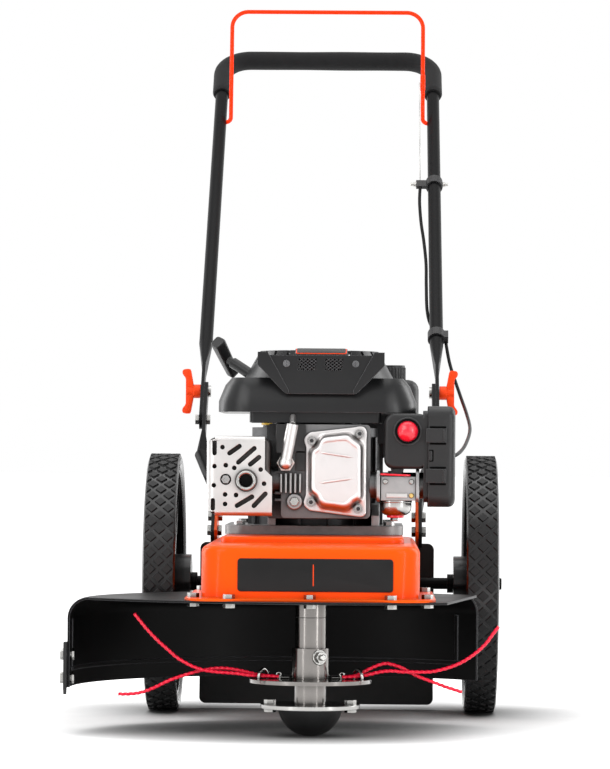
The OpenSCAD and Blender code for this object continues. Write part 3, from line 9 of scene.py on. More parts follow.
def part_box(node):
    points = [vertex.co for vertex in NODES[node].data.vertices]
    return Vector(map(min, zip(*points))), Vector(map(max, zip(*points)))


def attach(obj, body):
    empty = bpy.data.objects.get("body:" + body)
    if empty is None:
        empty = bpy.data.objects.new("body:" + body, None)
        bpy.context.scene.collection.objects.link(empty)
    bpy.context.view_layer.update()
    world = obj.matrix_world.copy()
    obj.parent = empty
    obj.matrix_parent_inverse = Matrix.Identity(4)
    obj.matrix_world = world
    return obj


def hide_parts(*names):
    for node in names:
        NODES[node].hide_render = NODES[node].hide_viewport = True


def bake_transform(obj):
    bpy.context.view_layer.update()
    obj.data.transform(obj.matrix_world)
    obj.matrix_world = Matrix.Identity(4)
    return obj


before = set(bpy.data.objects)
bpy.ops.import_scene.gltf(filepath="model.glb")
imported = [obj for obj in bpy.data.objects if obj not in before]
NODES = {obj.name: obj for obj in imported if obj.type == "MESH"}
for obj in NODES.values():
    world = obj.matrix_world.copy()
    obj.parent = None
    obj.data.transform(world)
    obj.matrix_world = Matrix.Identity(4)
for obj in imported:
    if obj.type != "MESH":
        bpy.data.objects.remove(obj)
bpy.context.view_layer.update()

MM = 0.001
scene = bpy.context.scene
scene.view_settings.view_transform = "Standard"

# Camera at the photograph's viewing angle
LENS, SENSOR = 184.6, 36
CAMERA_AT = (0.0749, -5.0, 0.3568)
YAW, PITCH, ROLL = (math.radians(a) for a in (0.969, 1.007, 0.448))


def make_camera():
    data = bpy.data.cameras.new("camera")
    data.sensor_fit = "AUTO"
    data.sensor_width = SENSOR
    data.lens = LENS
    data.clip_end = 100
    cam = bpy.data.objects.new("camera", data)
    scene.collection.objects.link(cam)
    turn = (Matrix.Rotation(YAW, 4, "Z") @ Matrix.Rotation(math.pi / 2 + PITCH, 4, "X")
            @ Matrix.Rotation(ROLL, 4, "Z"))
    cam.matrix_world = Matrix.Translation(CAMERA_AT) @ turn
    scene.camera = cam


make_camera()


# Mesh helpers
def link(mesh, name):
    obj = bpy.data.objects.new(name, mesh)
    scene.collection.objects.link(obj)
    return obj


def smooth_faces(obj, angle):
    bm = bmesh.new()
    bm.from_mesh(obj.data)
    limit = math.radians(angle)
    for f in bm.faces:
        f.smooth = True
    for e in bm.edges:
        e.smooth = len(e.link_faces) == 2 and e.calc_face_angle(0) < limit
    bm.to_mesh(obj.data)
    bm.free()


def mesh_object(name, bm, angle):
    """Object from bm, shaded smooth over edges that turn by less than angle."""
    bmesh.ops.recalc_face_normals(bm, faces=bm.faces)
    mesh = bpy.data.meshes.new(name)
    bm.to_mesh(mesh)
    bm.free()
    obj = link(mesh, name)
    smooth_faces(obj, angle)
    return obj


def skin(bm, rings, loop=False):
    rows = [[bm.verts.new(p) for p in ring] for ring in rings]
    n = len(rows[0])
    for a, b in zip(rows, rows[1:] + (rows[:1] if loop else [])):
        for k in range(n):
            bm.faces.new((a[k], a[(k + 1) % n], b[(k + 1) % n], b[k]))
    if not loop:
        bm.faces.new(rows[0][::-1])
        bm.faces.new(rows[-1])


def loft(name, rings, angle, loop=False):
    """Closed skin through rings of equal count, capped at both ends or joined end to start."""
    bm = bmesh.new()
    skin(bm, rings, loop)
    return mesh_object(name, bm, angle)


def turned_rings(profile, matrix, sides):
    """Rings of a solid of revolution: a profile of radius and height along the matrix's Z."""
    turns = [2 * math.pi * k / sides for k in range(sides)]
    return [[matrix @ Vector((r * math.cos(a), r * math.sin(a), h)) for a in turns] for r, h in profile]


def curve_through(points, step):
    """Catmull-Rom curve through points, resampled about every step."""
    pts = [Vector(p) for p in points]
    out = []
    for i in range(len(pts) - 1):
        a, b, c, d = pts[max(i - 1, 0)], pts[i], pts[i + 1], pts[min(i + 2, len(pts) - 1)]
        n = max(2, int((c - b).length / step + 0.5))
        for k in range(n):
            t = k / n
            out.append(((2 * b) + (c - a) * t + (2 * a - 5 * b + 4 * c - d) * t * t
                        + (3 * b - a - 3 * c + d) * t ** 3) / 2)
    out.append(pts[-1])
    return out


def path_frames(path):
    """Two directions across the path at each point, carried along without twist."""
    n = len(path)
    tangents = [(path[min(i + 1, n - 1)] - path[max(i - 1, 0)]).normalized() for i in range(n)]
    side = tangents[0].orthogonal().normalized()
    frames = []
    for t in tangents:
        side = (side - t * side.dot(t)).normalized()
        frames.append((side, t.cross(side)))
    return frames


def tube(name, path, radius, sides=16, lobes=0, lobe_depth=0.0, lay=0.0):
    """Closed tube along path, with one radius or a list of them. lobes, lobe_depth and lay twist it as a rope."""
    radii = radius if isinstance(radius, list) else [radius] * len(path)
    rings = []
    run = 0.0
    for i, (p, (u, v)) in enumerate(zip(path, path_frames(path))):
        if i:
            run += (p - path[i - 1]).length
        turn = 2 * math.pi * run / lay if lay else 0
        ring = []
        for k in range(sides):
            a = 2 * math.pi * k / sides
            r = radii[i] * (1 - lobe_depth * (0.5 - 0.5 * math.cos(lobes * (a - turn))))
            ring.append(p + r * (math.cos(a) * u + math.sin(a) * v))
        rings.append(ring)
    return loft(name, rings, 50)


def rounded_outline(w, h, r, steps=6):
    pts = []
    for cx, cy, a0 in ((w / 2 - r, h / 2 - r, 0), (r - w / 2, h / 2 - r, 90),
                       (r - w / 2, r - h / 2, 180), (w / 2 - r, r - h / 2, 270)):
        for k in range(steps + 1):
            a = math.radians(a0 + 90 * k / steps)
            pts.append((cx + r * math.cos(a), cy + r * math.sin(a)))
    return pts


def clipped(point, way, outline):
    """Ends of the line through point along way, within a convex outline."""
    ends = []
    for p, q in zip(outline, outline[1:] + outline[:1]):
        e = q - p
        cross = way.x * e.y - way.y * e.x
        if abs(cross) > 1e-9:
            u = ((p.x - point.x) * way.y - (p.y - point.y) * way.x) / cross
            if -1e-6 <= u <= 1 + 1e-6:
                ends.append(((p.x - point.x) * e.y - (p.y - point.y) * e.x) / cross)
    return (min(ends), max(ends)) if len(ends) > 1 else None


def plate(name, outline, thick, bevel, matrix):
    """Outline in its own plane, thick along its normal, with its upper edges bevelled."""
    bm = bmesh.new()
    face = bm.faces.new([bm.verts.new((x, y, 0)) for x, y in outline])
    raised = bmesh.ops.extrude_face_region(bm, geom=[face])["geom"]
    bmesh.ops.translate(bm, verts=[v for v in raised if isinstance(v, bmesh.types.BMVert)], vec=(0, 0, thick))
    bmesh.ops.recalc_face_normals(bm, faces=bm.faces)
    if bevel:
        edges = [e for e in bm.edges if all(v.co.z > thick / 2 for v in e.verts)]
        bmesh.ops.bevel(bm, geom=edges, offset=bevel, segments=3, affect="EDGES", profile=0.5)
    bmesh.ops.transform(bm, matrix=matrix, verts=bm.verts)
    return mesh_object(name, bm, 30)


def facing_front(x, y, z):
    """Matrix of a plane whose normal is -Y, with its X along +X."""
    return Matrix.Translation((x, y, z)) @ Matrix.Rotation(math.pi / 2, 4, "X")


# Plane whose normal is +X, with its X along +Y
ALONG_X = Matrix(((0, 0, 1, 0), (1, 0, 0, 0), (0, 1, 0, 0), (0, 0, 0, 1)))


# Materials
def new_material(name):
    m = bpy.data.materials.new(name)
    m.use_nodes = True
    return m, m.node_tree, m.node_tree.nodes["Principled BSDF"]


def feed(nt, node, inputs):
    """Sets a node's inputs by name or place: a socket is linked, a plain value is set."""
    for k, v in inputs.items():
        if isinstance(v, bpy.types.NodeSocket):
            nt.links.new(v, node.inputs[k])
        else:
            node.inputs[k].default_value = v


def add(nt, kind, inputs=None, **settings):
    node = nt.nodes.new("ShaderNode" + kind)
    for k, v in settings.items():
        setattr(node, k, v)
    feed(nt, node, inputs or {})
    return node


def object_place(nt):
    return add(nt, "TexCoord").outputs["Object"]


def noise(nt, scale, detail):
    return add(nt, "TexNoise", {"Vector": object_place(nt), "Scale": scale, "Detail": detail,
                                "Roughness": 0.55}).outputs["Fac"]


def ramp(nt, source, low, high, start=0.3, end=0.7):
    """Colour from low to high as the source goes from start to end."""
    node = add(nt, "ValToRGB", {"Fac": source})
    for el, at, colour in zip(node.color_ramp.elements, (start, end), (low, high)):
        el.position = at
        el.color = (*colour, 1)
    return node.outputs["Color"]


def remap(nt, value, low, high, start=0.0, end=1.0, **settings):
    """Number from low to high as the value goes from start to end."""
    return add(nt, "MapRange", {"Value": value, "From Min": start, "From Max": end, "To Min": low, "To Max": high},
               **settings).outputs["Result"]


def mix(nt, factor, a, b, **settings):
    return add(nt, "Mix", {"Factor": factor, "A": a, "B": b}, data_type="RGBA", **settings).outputs["Result"]


def grained_normal(nt, bsdf, grain, strength, depth, edge_r):
    """Fine bump over softened edges. Gives the softened normal."""
    soft = add(nt, "Bevel", {"Radius": edge_r}, samples=4).outputs["Normal"]
    bump = add(nt, "Bump", {"Strength": strength, "Distance": depth, "Height": noise(nt, grain, 3.0),
                            "Normal": soft})
    feed(nt, bsdf, {"Normal": bump.outputs["Normal"]})
    return soft


def shade(col, k):
    return tuple(min(1.0, c * k) for c in col)


ROUGH_SPREAD = 0.08


def surface(name, base, rough, blotch, spread, grain, bump, metal=0.0, depth=0.0004, coat=0.0, coat_rough=0.08,
            edge=None, edge_r=0.0012, specular=0.5, sheen=0.0, cavity_shade=0.0, reach=0.012):
    """Base colour blotched by slow noise, fine bump, softened edges with a painted highlight on them, and painted
    shade in the cavities.
    """
    m, nt, bsdf = new_material(name)
    slow = noise(nt, blotch, 5.0)
    colour = ramp(nt, slow, shade(base, 1 - spread), shade(base, 1 + spread))
    soft = grained_normal(nt, bsdf, grain, bump, depth, edge_r)
    # The edge tint is a painted highlight: a lighter colour mixed in where the softened normal turns away from the
    # true one.
    if edge:
        highlight_tint, highlight_amount = edge
        hard = add(nt, "NewGeometry").outputs["Normal"]
        dot = add(nt, "VectorMath", {0: soft, 1: hard}, operation="DOT_PRODUCT").outputs["Value"]
        colour = mix(nt, remap(nt, dot, 0.0, highlight_amount, 0.97, 0.80), colour, (*highlight_tint, 1))
    # Painted shade: colour darkened by ambient occlusion in hollows, creases and between parts.
    if cavity_shade:
        occlusion_shade = add(nt, "AmbientOcclusion", {"Distance": reach}, samples=6).outputs["AO"]
        colour = mix(nt, 1.0, colour, remap(nt, occlusion_shade, 1.0 - cavity_shade, 1.0, 0.25, 0.9), blend_type="MULTIPLY")
    feed(nt, bsdf, {
        "Base Color": colour, "Metallic": metal, "Specular IOR Level": specular, "Coat Weight": coat,
        "Coat Roughness": coat_rough, "Sheen Weight": sheen,
        "Roughness": remap(nt, slow, max(0.02, rough - ROUGH_SPREAD), min(1.0, rough + ROUGH_SPREAD))})
    return m


def tyre_material():
    """Matt tread blocks over a slightly polished groove and sidewall, told apart by the mesh's relief values; the
    groove and sidewall are also coloured lighter, a painted highlight.
    """
    m, nt, bsdf = new_material("tyre_black")
    relief = add(nt, "Attribute", attribute_name="relief").outputs["Fac"]
    slow = noise(nt, 24, 5.0)
    # Painted highlight: the groove and sidewall are coloured lighter than the blocks.
    groove = ramp(nt, slow, (0.013, 0.013, 0.0135), (0.019, 0.019, 0.0195))
    block = ramp(nt, slow, (0.006, 0.006, 0.0062), (0.0095, 0.0095, 0.0099))
    feed(nt, bsdf, {"Base Color": mix(nt, relief, groove, block), "Roughness": remap(nt, relief, 0.16, 0.58),
                    "Specular IOR Level": 0.34})
    grained_normal(nt, bsdf, grain=1600, strength=0.25, depth=0.0003, edge_r=0.0006)
    return m


def split_material(name, split, low, high, metal, rough, edge_r):
    """Low pair of colours below the height split, high pair above it, each blotched by slow noise."""
    m, nt, bsdf = new_material(name)
    height = add(nt, "SeparateXYZ", {"Vector": object_place(nt)}).outputs["Z"]
    over = add(nt, "Math", {0: height, 1: split}, operation="GREATER_THAN").outputs["Value"]
    slow = noise(nt, 60, 4.0)
    feed(nt, bsdf, {"Base Color": mix(nt, over, ramp(nt, slow, *low), ramp(nt, slow, *high)), "Metallic": metal,
                    "Roughness": remap(nt, slow, rough - 0.06, rough + 0.06)})
    grained_normal(nt, bsdf, grain=1300, strength=0.15, depth=0.0003, edge_r=edge_r)
    return m


ORANGE = (0.97, 0.086, 0.002)
# In these looks the edge tint is a painted highlight on the edges, and the cavity darkening is painted shade in the
# hollows.
SURFACES = {
    "orange_paint": dict(base=ORANGE, rough=0.3, blotch=9, spread=0.05, grain=420, bump=0.05, coat=0.1,
        coat_rough=0.05, edge=((1.0, 0.24, 0.03), 0.5), edge_r=0.003, specular=0.06, cavity_shade=0.5),
    "bail_paint": dict(base=(0.98, 0.034, 0.001), rough=0.3, blotch=12, spread=0.05, grain=420, bump=0.05, coat=0.1,
        coat_rough=0.05, edge=((1.0, 0.12, 0.02), 0.4), specular=0.06, cavity_shade=0.4),
    "black_paint": dict(base=(0.0036, 0.0036, 0.0039), rough=0.3, blotch=14, spread=0.2, grain=700, bump=0.06,
        edge=((0.14, 0.14, 0.15), 0.6), edge_r=0.0012, specular=0.06),
    "hood_paint": dict(base=(0.0026, 0.0024, 0.0025), rough=0.38, blotch=10, spread=0.25, grain=600, bump=0.08,
        edge=((0.16, 0.16, 0.17), 0.7), edge_r=0.002, specular=0.1),
    "zinc": dict(base=(0.42, 0.415, 0.40), rough=0.22, metal=1.0, blotch=45, spread=0.06, grain=1300, bump=0.03,
        edge=((0.8, 0.8, 0.8), 0.5), edge_r=0.0006, cavity_shade=0.75, reach=0.014),
    "turned_steel": dict(base=(0.175, 0.165, 0.157), rough=0.16, metal=1.0, blotch=40, spread=0.1, grain=1300,
        bump=0.04, edge=((0.75, 0.74, 0.72), 0.5), edge_r=0.0007, cavity_shade=0.8, reach=0.014),
    "plate_steel": dict(base=(0.36, 0.355, 0.345), rough=0.2, metal=1.0, blotch=40, spread=0.08, grain=1300,
        bump=0.03, edge=((0.85, 0.85, 0.83), 0.7), edge_r=0.0009, cavity_shade=0.7, reach=0.014),
    "cast_aluminium": dict(base=(0.34, 0.34, 0.34), rough=0.40, metal=1.0, blotch=30, spread=0.12, grain=1500,
        bump=0.25, depth=0.0003, edge=((0.7, 0.7, 0.7), 0.6), cavity_shade=0.85, reach=0.02),
    "satin_aluminium": dict(base=(0.65, 0.625, 0.62), rough=0.34, metal=1.0, blotch=20, spread=0.05, grain=1400,
        bump=0.08, depth=0.0003, edge=((0.9, 0.9, 0.9), 0.6), edge_r=0.002, cavity_shade=0.8, reach=0.014),
    "dark_aluminium": dict(base=(0.055, 0.055, 0.057), rough=0.45, metal=0.5, blotch=26, spread=0.18, grain=1100,
        bump=0.3, depth=0.0004, edge=((0.25, 0.25, 0.25), 0.5), cavity_shade=0.8, reach=0.03),
    # Painted shade: the engine block's aluminium is coloured darker than the other castings.
    "shaded_block_aluminium": dict(base=(0.16, 0.16, 0.162), rough=0.42, metal=0.9, blotch=26, spread=0.16, grain=1300,
        bump=0.28, depth=0.0004, edge=((0.5, 0.5, 0.5), 0.5), cavity_shade=0.9, reach=0.04),
    "steel_sheet": dict(base=(0.54, 0.525, 0.515), rough=0.36, metal=1.0, blotch=22, spread=0.08, grain=900,
        bump=0.05, edge=((0.95, 0.95, 0.93), 0.6), edge_r=0.0008, cavity_shade=0.8, reach=0.012),
    "heat_steel": dict(base=(0.085, 0.078, 0.075), rough=0.42, metal=0.8, blotch=30, spread=0.3, grain=900, bump=0.12,
        edge=((0.3, 0.29, 0.28), 0.5), edge_r=0.0008, cavity_shade=0.9, reach=0.02),
    "black_plastic": dict(base=(0.011, 0.011, 0.0115), rough=0.40, blotch=20, spread=0.2, grain=2200, bump=0.35,
        depth=0.0002, edge=((0.13, 0.13, 0.135), 0.6), edge_r=0.0015, specular=0.33),
    "shroud_plastic": dict(base=(0.0065, 0.0067, 0.0072), rough=0.32, blotch=12, spread=0.15, grain=1500, bump=0.06,
        edge=((0.22, 0.22, 0.23), 0.6), edge_r=0.0009, specular=0.3),
    "rim_black": dict(base=(0.006, 0.006, 0.0064), rough=0.24, blotch=16, spread=0.2, grain=900, bump=0.03, coat=0.15,
        coat_rough=0.1, edge=((0.25, 0.25, 0.25), 0.5), specular=0.3),
    "rubber_black": dict(base=(0.011, 0.011, 0.011), rough=0.5, blotch=30, spread=0.25, grain=1400, bump=0.2,
        depth=0.0003, edge=((0.06, 0.06, 0.06), 0.4), edge_r=0.0008, specular=0.3),
    "cable_black": dict(base=(0.003, 0.003, 0.0032), rough=0.26, blotch=30, spread=0.2, grain=1400, bump=0.06,
        specular=0.07),
    "foam_black": dict(base=(0.0075, 0.0075, 0.008), rough=0.7, blotch=60, spread=0.25, grain=1100, bump=0.5,
        depth=0.0006, sheen=0.05, specular=0.14),
    "line_red": dict(base=(0.95, 0.004, 0.040), rough=0.28, blotch=80, spread=0.1, grain=1200, bump=0.08, cavity_shade=0.4,
        reach=0.003),
    "orange_plastic": dict(base=(0.98, 0.062, 0.008), rough=0.36, blotch=30, spread=0.06, grain=1700, bump=0.15,
        depth=0.0003, edge=((1.0, 0.2, 0.05), 0.4), specular=0.15, cavity_shade=0.5),
    "red_rubber": dict(base=(0.78, 0.008, 0.03), rough=0.28, blotch=60, spread=0.08, grain=900, bump=0.06, coat=0.3),
    "yellow_plastic": dict(base=(0.75, 0.46, 0.02), rough=0.36, blotch=60, spread=0.08, grain=1500, bump=0.1),
    "ceramic": dict(base=(0.78, 0.78, 0.75), rough=0.18, blotch=60, spread=0.05, grain=900, bump=0.03),
    "grey_plate": dict(base=(0.009, 0.0088, 0.009), rough=0.34, blotch=30, spread=0.12, grain=1600, bump=0.05,
        edge_r=0.0004, specular=0.18),
    "brass": dict(base=(0.70, 0.48, 0.18), rough=0.26, metal=1.0, blotch=50, spread=0.08, grain=1200, bump=0.05,
        edge=((0.9, 0.7, 0.35), 0.5), edge_r=0.0005, cavity_shade=0.6),
    "dome_black": dict(base=(0.012, 0.012, 0.0122), rough=0.3, blotch=30, spread=0.2, grain=1500, bump=0.08,
        edge=((0.2, 0.2, 0.2), 0.5), specular=0.4),
    # Painted shade: flat black for the dark insides of slots, grooves and vent holes.
    "recess_shade_black": dict(base=(0.002, 0.002, 0.002), rough=0.8, blotch=40, spread=0.3, grain=1500, bump=0.2,
        specular=0.05),
    "black_oxide": dict(base=(0.022, 0.022, 0.024), rough=0.32, metal=0.4, blotch=60, spread=0.2, grain=1500,
        bump=0.06, edge=((0.22, 0.22, 0.22), 0.6), edge_r=0.0005),
}
MATS = {name: surface(name, **look) for name, look in SURFACES.items()}
MATS["tyre_black"] = tyre_material()
MATS["engine_screws"] = split_material(
    "engine_screws", split=0.462, low=[(0.27, 0.265, 0.26), (0.34, 0.335, 0.33)],
    high=[(0.10, 0.10, 0.105), (0.17, 0.17, 0.175)], metal=0.9, rough=0.25, edge_r=0.0005)
MATS["base_castings"] = split_material(
    "base_castings", split=0.2621, low=[(0.18, 0.176, 0.176), (0.26, 0.255, 0.25)],
    high=[(0.045, 0.045, 0.047), (0.065, 0.065, 0.067)], metal=0.75, rough=0.46, edge_r=0.0012)
NODE_MATS = {
    "orange_paint": ["deck"],
    "bail_paint": ["bail"],
    "black_paint": ["axle", "axle_brackets", "lower_handle_left", "lower_handle_right", "upper_handle"],
    "hood_paint": ["debris_hood"],
    "zinc": ["chassis_bolts", "axle_nuts", "handle_bolts",
             "brake_lever", "head_bolts", "line_guides", "inner_wire", "spindle_bearings", "crankshaft"],
    "turned_steel": ["spindle_housing", "spindle_shaft", "string_head"],
    "plate_steel": ["skid_plate"],
    "cast_aluminium": ["carburettor"],
    "shaded_block_aluminium": ["engine_cylinder"],
    "satin_aluminium": ["valve_cover", "float_bowl"],
    "dark_aluminium": ["crank_pulley", "spindle_pulley"],
    "base_castings": ["engine_base"],
    "steel_sheet": ["muffler_guard", "spark_plug_boot"],
    "heat_steel": ["muffler"],
    "black_plastic": ["air_cleaner_base", "air_cleaner_cover", "fuel_tank", "fuel_cap", "starter_grip",
                      "cable_holders"],
    "shroud_plastic": ["blower_shroud"],
    "dome_black": ["skid_dome"],
    "engine_screws": ["engine_fasteners"],
    "rim_black": ["rim_left", "rim_right"],
    "rubber_black": ["hood_flap", "rear_flap", "drive_belt", "control_cable_lower", "control_cable_upper",
                     "starter_rope"],
    "foam_black": ["foam_grip"],
    "line_red": ["line_left_upper", "line_left_lower", "line_right_upper", "line_right_lower"],
    "orange_plastic": ["knob_left", "knob_right"],
    "red_rubber": ["primer_bulb"],
    "yellow_plastic": ["oil_dipstick"],
    "ceramic": ["spark_plug"],
}
for mat, names in NODE_MATS.items():
    for n in names:
        NODES[n].data.materials.clear()
        NODES[n].data.materials.append(MATS[mat])


# Pieces with their finish and their body
def dress(obj, mat, body=None):
    obj.data.materials.append(MATS[mat])
    if body:
        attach(obj, body)
    return obj


def trim(name, outline, thick, bevel, matrix, mat):
    dress(plate(name, outline, thick, bevel, matrix), mat, "chassis")


def fitting(name, profile, matrix, mat, body="chassis", sides=40, angle=35, loop=False):
    return dress(loft(name, turned_rings(profile, matrix, sides), angle, loop), mat, body)


def smooth_copy(name, node, mat):
    """Skin of a node of the chassis, with its rounded corners shaded smooth and its flats kept flat."""
    bm = bmesh.new()
    bm.from_mesh(NODES[node].data)
    bmesh.ops.remove_doubles(bm, verts=bm.verts, dist=1e-6)
    obj = mesh_object(name, bm, 30)
    if "custom_normal" in obj.data.attributes:
        obj.data.attributes.remove(obj.data.attributes["custom_normal"])
    normals = obj.modifiers.new("flats", "WEIGHTED_NORMAL")
    normals.keep_sharp = True
    obj.data.materials.clear()
    dress(obj, mat, "chassis")
    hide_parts(node)


# Trimmer line: four twisted halves, on the routes of the solids
LINES = {
    "line_left_upper": [
        (-40, -6, 74.5), (-52, -4.5, 75), (-64, -4, 75), (-78, -4, 76), (-92, -4, 78), (-106, -4, 79),
        (-120, -5, 80), (-134, -6, 82), (-147, -8, 86), (-159, -10, 92), (-170, -12, 99), (-180, -15, 108),
        (-190, -18, 117), (-199, -21, 126), (-207, -25, 135), (-215, -28, 145), (-222, -31, 154)],
    "line_left_lower": [
        (-40, 6, 74.5), (-52, 4.5, 75), (-64, 4, 76), (-78, 4, 79), (-92, 4, 82), (-106, 4, 84), (-120, 4, 84),
        (-134, 4, 82), (-147, 3, 79), (-160, 2, 75), (-172, 1, 71), (-184, 0, 66), (-196, -2, 60),
        (-208, -4, 55), (-220, -5, 52), (-232, -6, 51), (-243, -7, 51)],
    "line_right_upper": [
        (40, -6, 74.5), (52, -4.5, 75), (64, -4, 76), (77, -4, 79), (90, -4, 82), (103, -4, 83), (116, -4, 82),
        (129, -5, 82), (142, -6, 82), (155, -7, 83), (168, -8, 86), (180, -10, 90), (191, -12, 95),
        (202, -14, 102), (212, -17, 110), (221, -20, 119), (229, -23, 130), (237, -26, 141)],
    "line_right_lower": [
        (40, 6, 74.5), (51, 4.5, 75), (62, 4, 78), (73, 4, 84), (84, 4, 89), (95, 4, 92), (106, 4, 90),
        (117, 4, 86), (128, 4, 80), (139, 3, 75), (150, 2, 71), (161, 1, 67), (172, 0, 63), (182, -1, 60),
        (192, -3, 57)],
}


for name, route in LINES.items():
    path = curve_through([Vector(p) * MM for p in route], 0.001)
    piece = tube("twisted_" + name, path, 0.0023, sides=18, lobes=3, lobe_depth=0.3, lay=0.02)
    dress(piece, "line_red", "line_head")
    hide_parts(name)

# Tyres: a beaded, ribbed carcass with a lattice of diamond blocks
TREAD_PAIRS = 50
BLOCK_LONG, BLOCK_WIDE, BLOCK_SLOPE = 0.0078, 0.0081, 0.86
COLUMN_AT, EDGE_AT, EDGE_SHARE = 0.0112, 0.0200, 0.82
CARCASS = [(0.1600, 0.0192), (0.1612, 0.0206), (0.1630, 0.0212), (0.1636, 0.0217), (0.1648, 0.0217),
           (0.1655, 0.0213), (0.1700, 0.0215), (0.1706, 0.0219), (0.1718, 0.0218), (0.1725, 0.0213),
           (0.1745, 0.0209), (0.1757, 0.0200)]


def tyre(name, node, body):
    low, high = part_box(node)
    mid = (low + high) / 2
    top_r = (high.z - low.z) / 2
    base_r = CARCASS[-1][0]
    bm = bmesh.new()
    relief = bm.verts.layers.float.new("relief")

    def at(r, t, angle):
        return bm.verts.new(mid + Vector((t, r * math.cos(angle), r * math.sin(angle))))

    profile = [(r, -t) for r, t in CARCASS] + [(r, t) for r, t in reversed(CARCASS)]
    count = 4 * TREAD_PAIRS
    rings = [[at(r, t, 2 * math.pi * k / count) for r, t in profile] for k in range(count)]
    for k in range(count):
        a, b = rings[k], rings[(k + 1) % count]
        for i in range(len(profile)):
            j = (i + 1) % len(profile)
            bm.faces.new((a[i], a[j], b[j], b[i]))

    def block(outline, angle, centre):
        foot, head = [], []
        for along, across in outline:
            foot.append(at(base_r - 0.0006, across, angle + along / top_r))
            head.append(at(top_r - 0.0002, centre + (across - centre) * BLOCK_SLOPE,
                           angle + along * BLOCK_SLOPE / top_r))
        for v in head:
            v[relief] = 1.0
        n = len(outline)
        bm.faces.new(head)
        bm.faces.new(foot[::-1])
        for i in range(n):
            bm.faces.new((foot[i], foot[(i + 1) % n], head[(i + 1) % n], head[i]))

    for k in range(TREAD_PAIRS):
        turn = 2 * math.pi * k / TREAD_PAIRS
        half = turn + math.pi / TREAD_PAIRS
        diamond = [(BLOCK_LONG, 0), (0, BLOCK_WIDE), (-BLOCK_LONG, 0), (0, -BLOCK_WIDE)]
        for across in (-COLUMN_AT, COLUMN_AT):
            block([(a, c + across) for a, c in diamond], turn, across)
        block(diamond, half, 0)
        for side in (-1, 1):
            reach = BLOCK_WIDE * EDGE_SHARE
            block([(BLOCK_LONG * EDGE_SHARE, side * EDGE_AT), (-BLOCK_LONG * EDGE_SHARE, side * EDGE_AT),
                   (0, side * (EDGE_AT - reach))], half, side * (EDGE_AT - reach / 3))
    obj = mesh_object(name, bm, 32)
    dress(obj, "tyre_black", body)
    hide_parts(node)


tyre("tread_tyre_left", "tyre_left", "wheel_left")
tyre("tread_tyre_right", "tyre_right", "wheel_right")

# Control cable halves, the cable bracket's bolt ends, inner wire and starter rope
SLOPE = math.radians(38)
PIVOT = Vector((0, 0.668, 0.405))


def on_handle(x, v, w):
    """Point in the handle's own frame, in millimetres, from its fold pivot."""
    return PIVOT + Vector((x, v * math.cos(SLOPE) - w * math.sin(SLOPE),
                           v * math.sin(SLOPE) + w * math.cos(SLOPE))) * MM


CABLE = [(184, 826, 522), (190, 792, 488), (203, 722, 444), (211, 650, 416), (214, 570, 394), (208, 490, 376),
         (198, 420, 362), (183, 365, 354), (152, 338, 350), (118, 327, 350), (100, 323, 350)]
UPPER = [(148, 597, 0), (147, 560, -2), (149, 510, -5), (153, 460, -6), (156, 400, -5), (156, 340, -4),
         (157, 280, -7), (163, 252, -14), (176, 234, -15), (184, 214, -5)]
CABLE_R, CABLE_STEP = 0.0025, 0.006
lower_cable = tube("cable_lower", curve_through([Vector(p) * MM for p in CABLE], CABLE_STEP), CABLE_R)
dress(lower_cable, "cable_black")
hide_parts("control_cable_lower")
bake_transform(lower_cable)
upper_cable = tube("cable_upper", curve_through([on_handle(*p) for p in UPPER], CABLE_STEP), CABLE_R)
dress(upper_cable, "cable_black", "handle")
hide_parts("control_cable_upper")

BRACKET_V = 606
BOLT_TAIL = [(0.0005, 0), (0.0045, 0), (0.0045, 0.0010), (0.0038, 0.0012), (0.0038, 0.0042), (0.0025, 0.0046),
             (0.0025, 0.0085), (0.0018, 0.0092), (0.0005, 0.0092)]
for i, (x, turn) in enumerate(((142, -90), (183, 90))):
    fitting("bracket_bolt_%d" % i, BOLT_TAIL,
            Matrix.Translation(on_handle(x, BRACKET_V, 0)) @ Matrix.Rotation(math.radians(turn), 4, "Y"),
            "zinc", body="handle", sides=24)

wire_low, wire_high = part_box("inner_wire")
wire_x = (wire_low.x + wire_high.x) / 2
wire_path = [Vector((wire_x, wire_low.y + 0.0006, wire_low.z + 0.0005)),
             Vector((wire_x, wire_high.y - 0.0006, wire_high.z - 0.0005))]
wire_path = [wire_path[0].lerp(wire_path[1], i / 60) for i in range(61)]
wire = tube("strand_wire", wire_path, 0.0009, sides=12, lobes=5, lobe_depth=0.3, lay=0.009)
dress(wire, "zinc")
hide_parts("inner_wire")
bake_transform(wire)

GRIP_AT = Vector((-0.125, 0.380, 0.487))
PULL = Vector((-0.75, 0.45, 0.48)).normalized()
STEM_START, STEM_LEN, ROPE_LEN = 0.004, 0.0141, 0.0369
rope_path = [GRIP_AT - PULL * (STEM_LEN + ROPE_LEN * i / 40) for i in range(41)]
rope = tube("braided_rope", rope_path, 0.002, sides=16, lobes=6, lobe_depth=0.12, lay=0.012)
dress(rope, "rubber_black")
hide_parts("starter_rope")
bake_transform(rope)

# Starter grip: a tapered block on a round stem
GRIP_SIZES = [(-0.0335, 0.70), (-0.0320, 0.78), (-0.0290, 0.82), (0, 0.92), (0.0300, 1.0), (0.0325, 0.96),
              (0.0335, 0.88)]
GRIP_WIDE, GRIP_DEEP, GRIP_CORNER = 0.0168, 0.0172, 0.0042


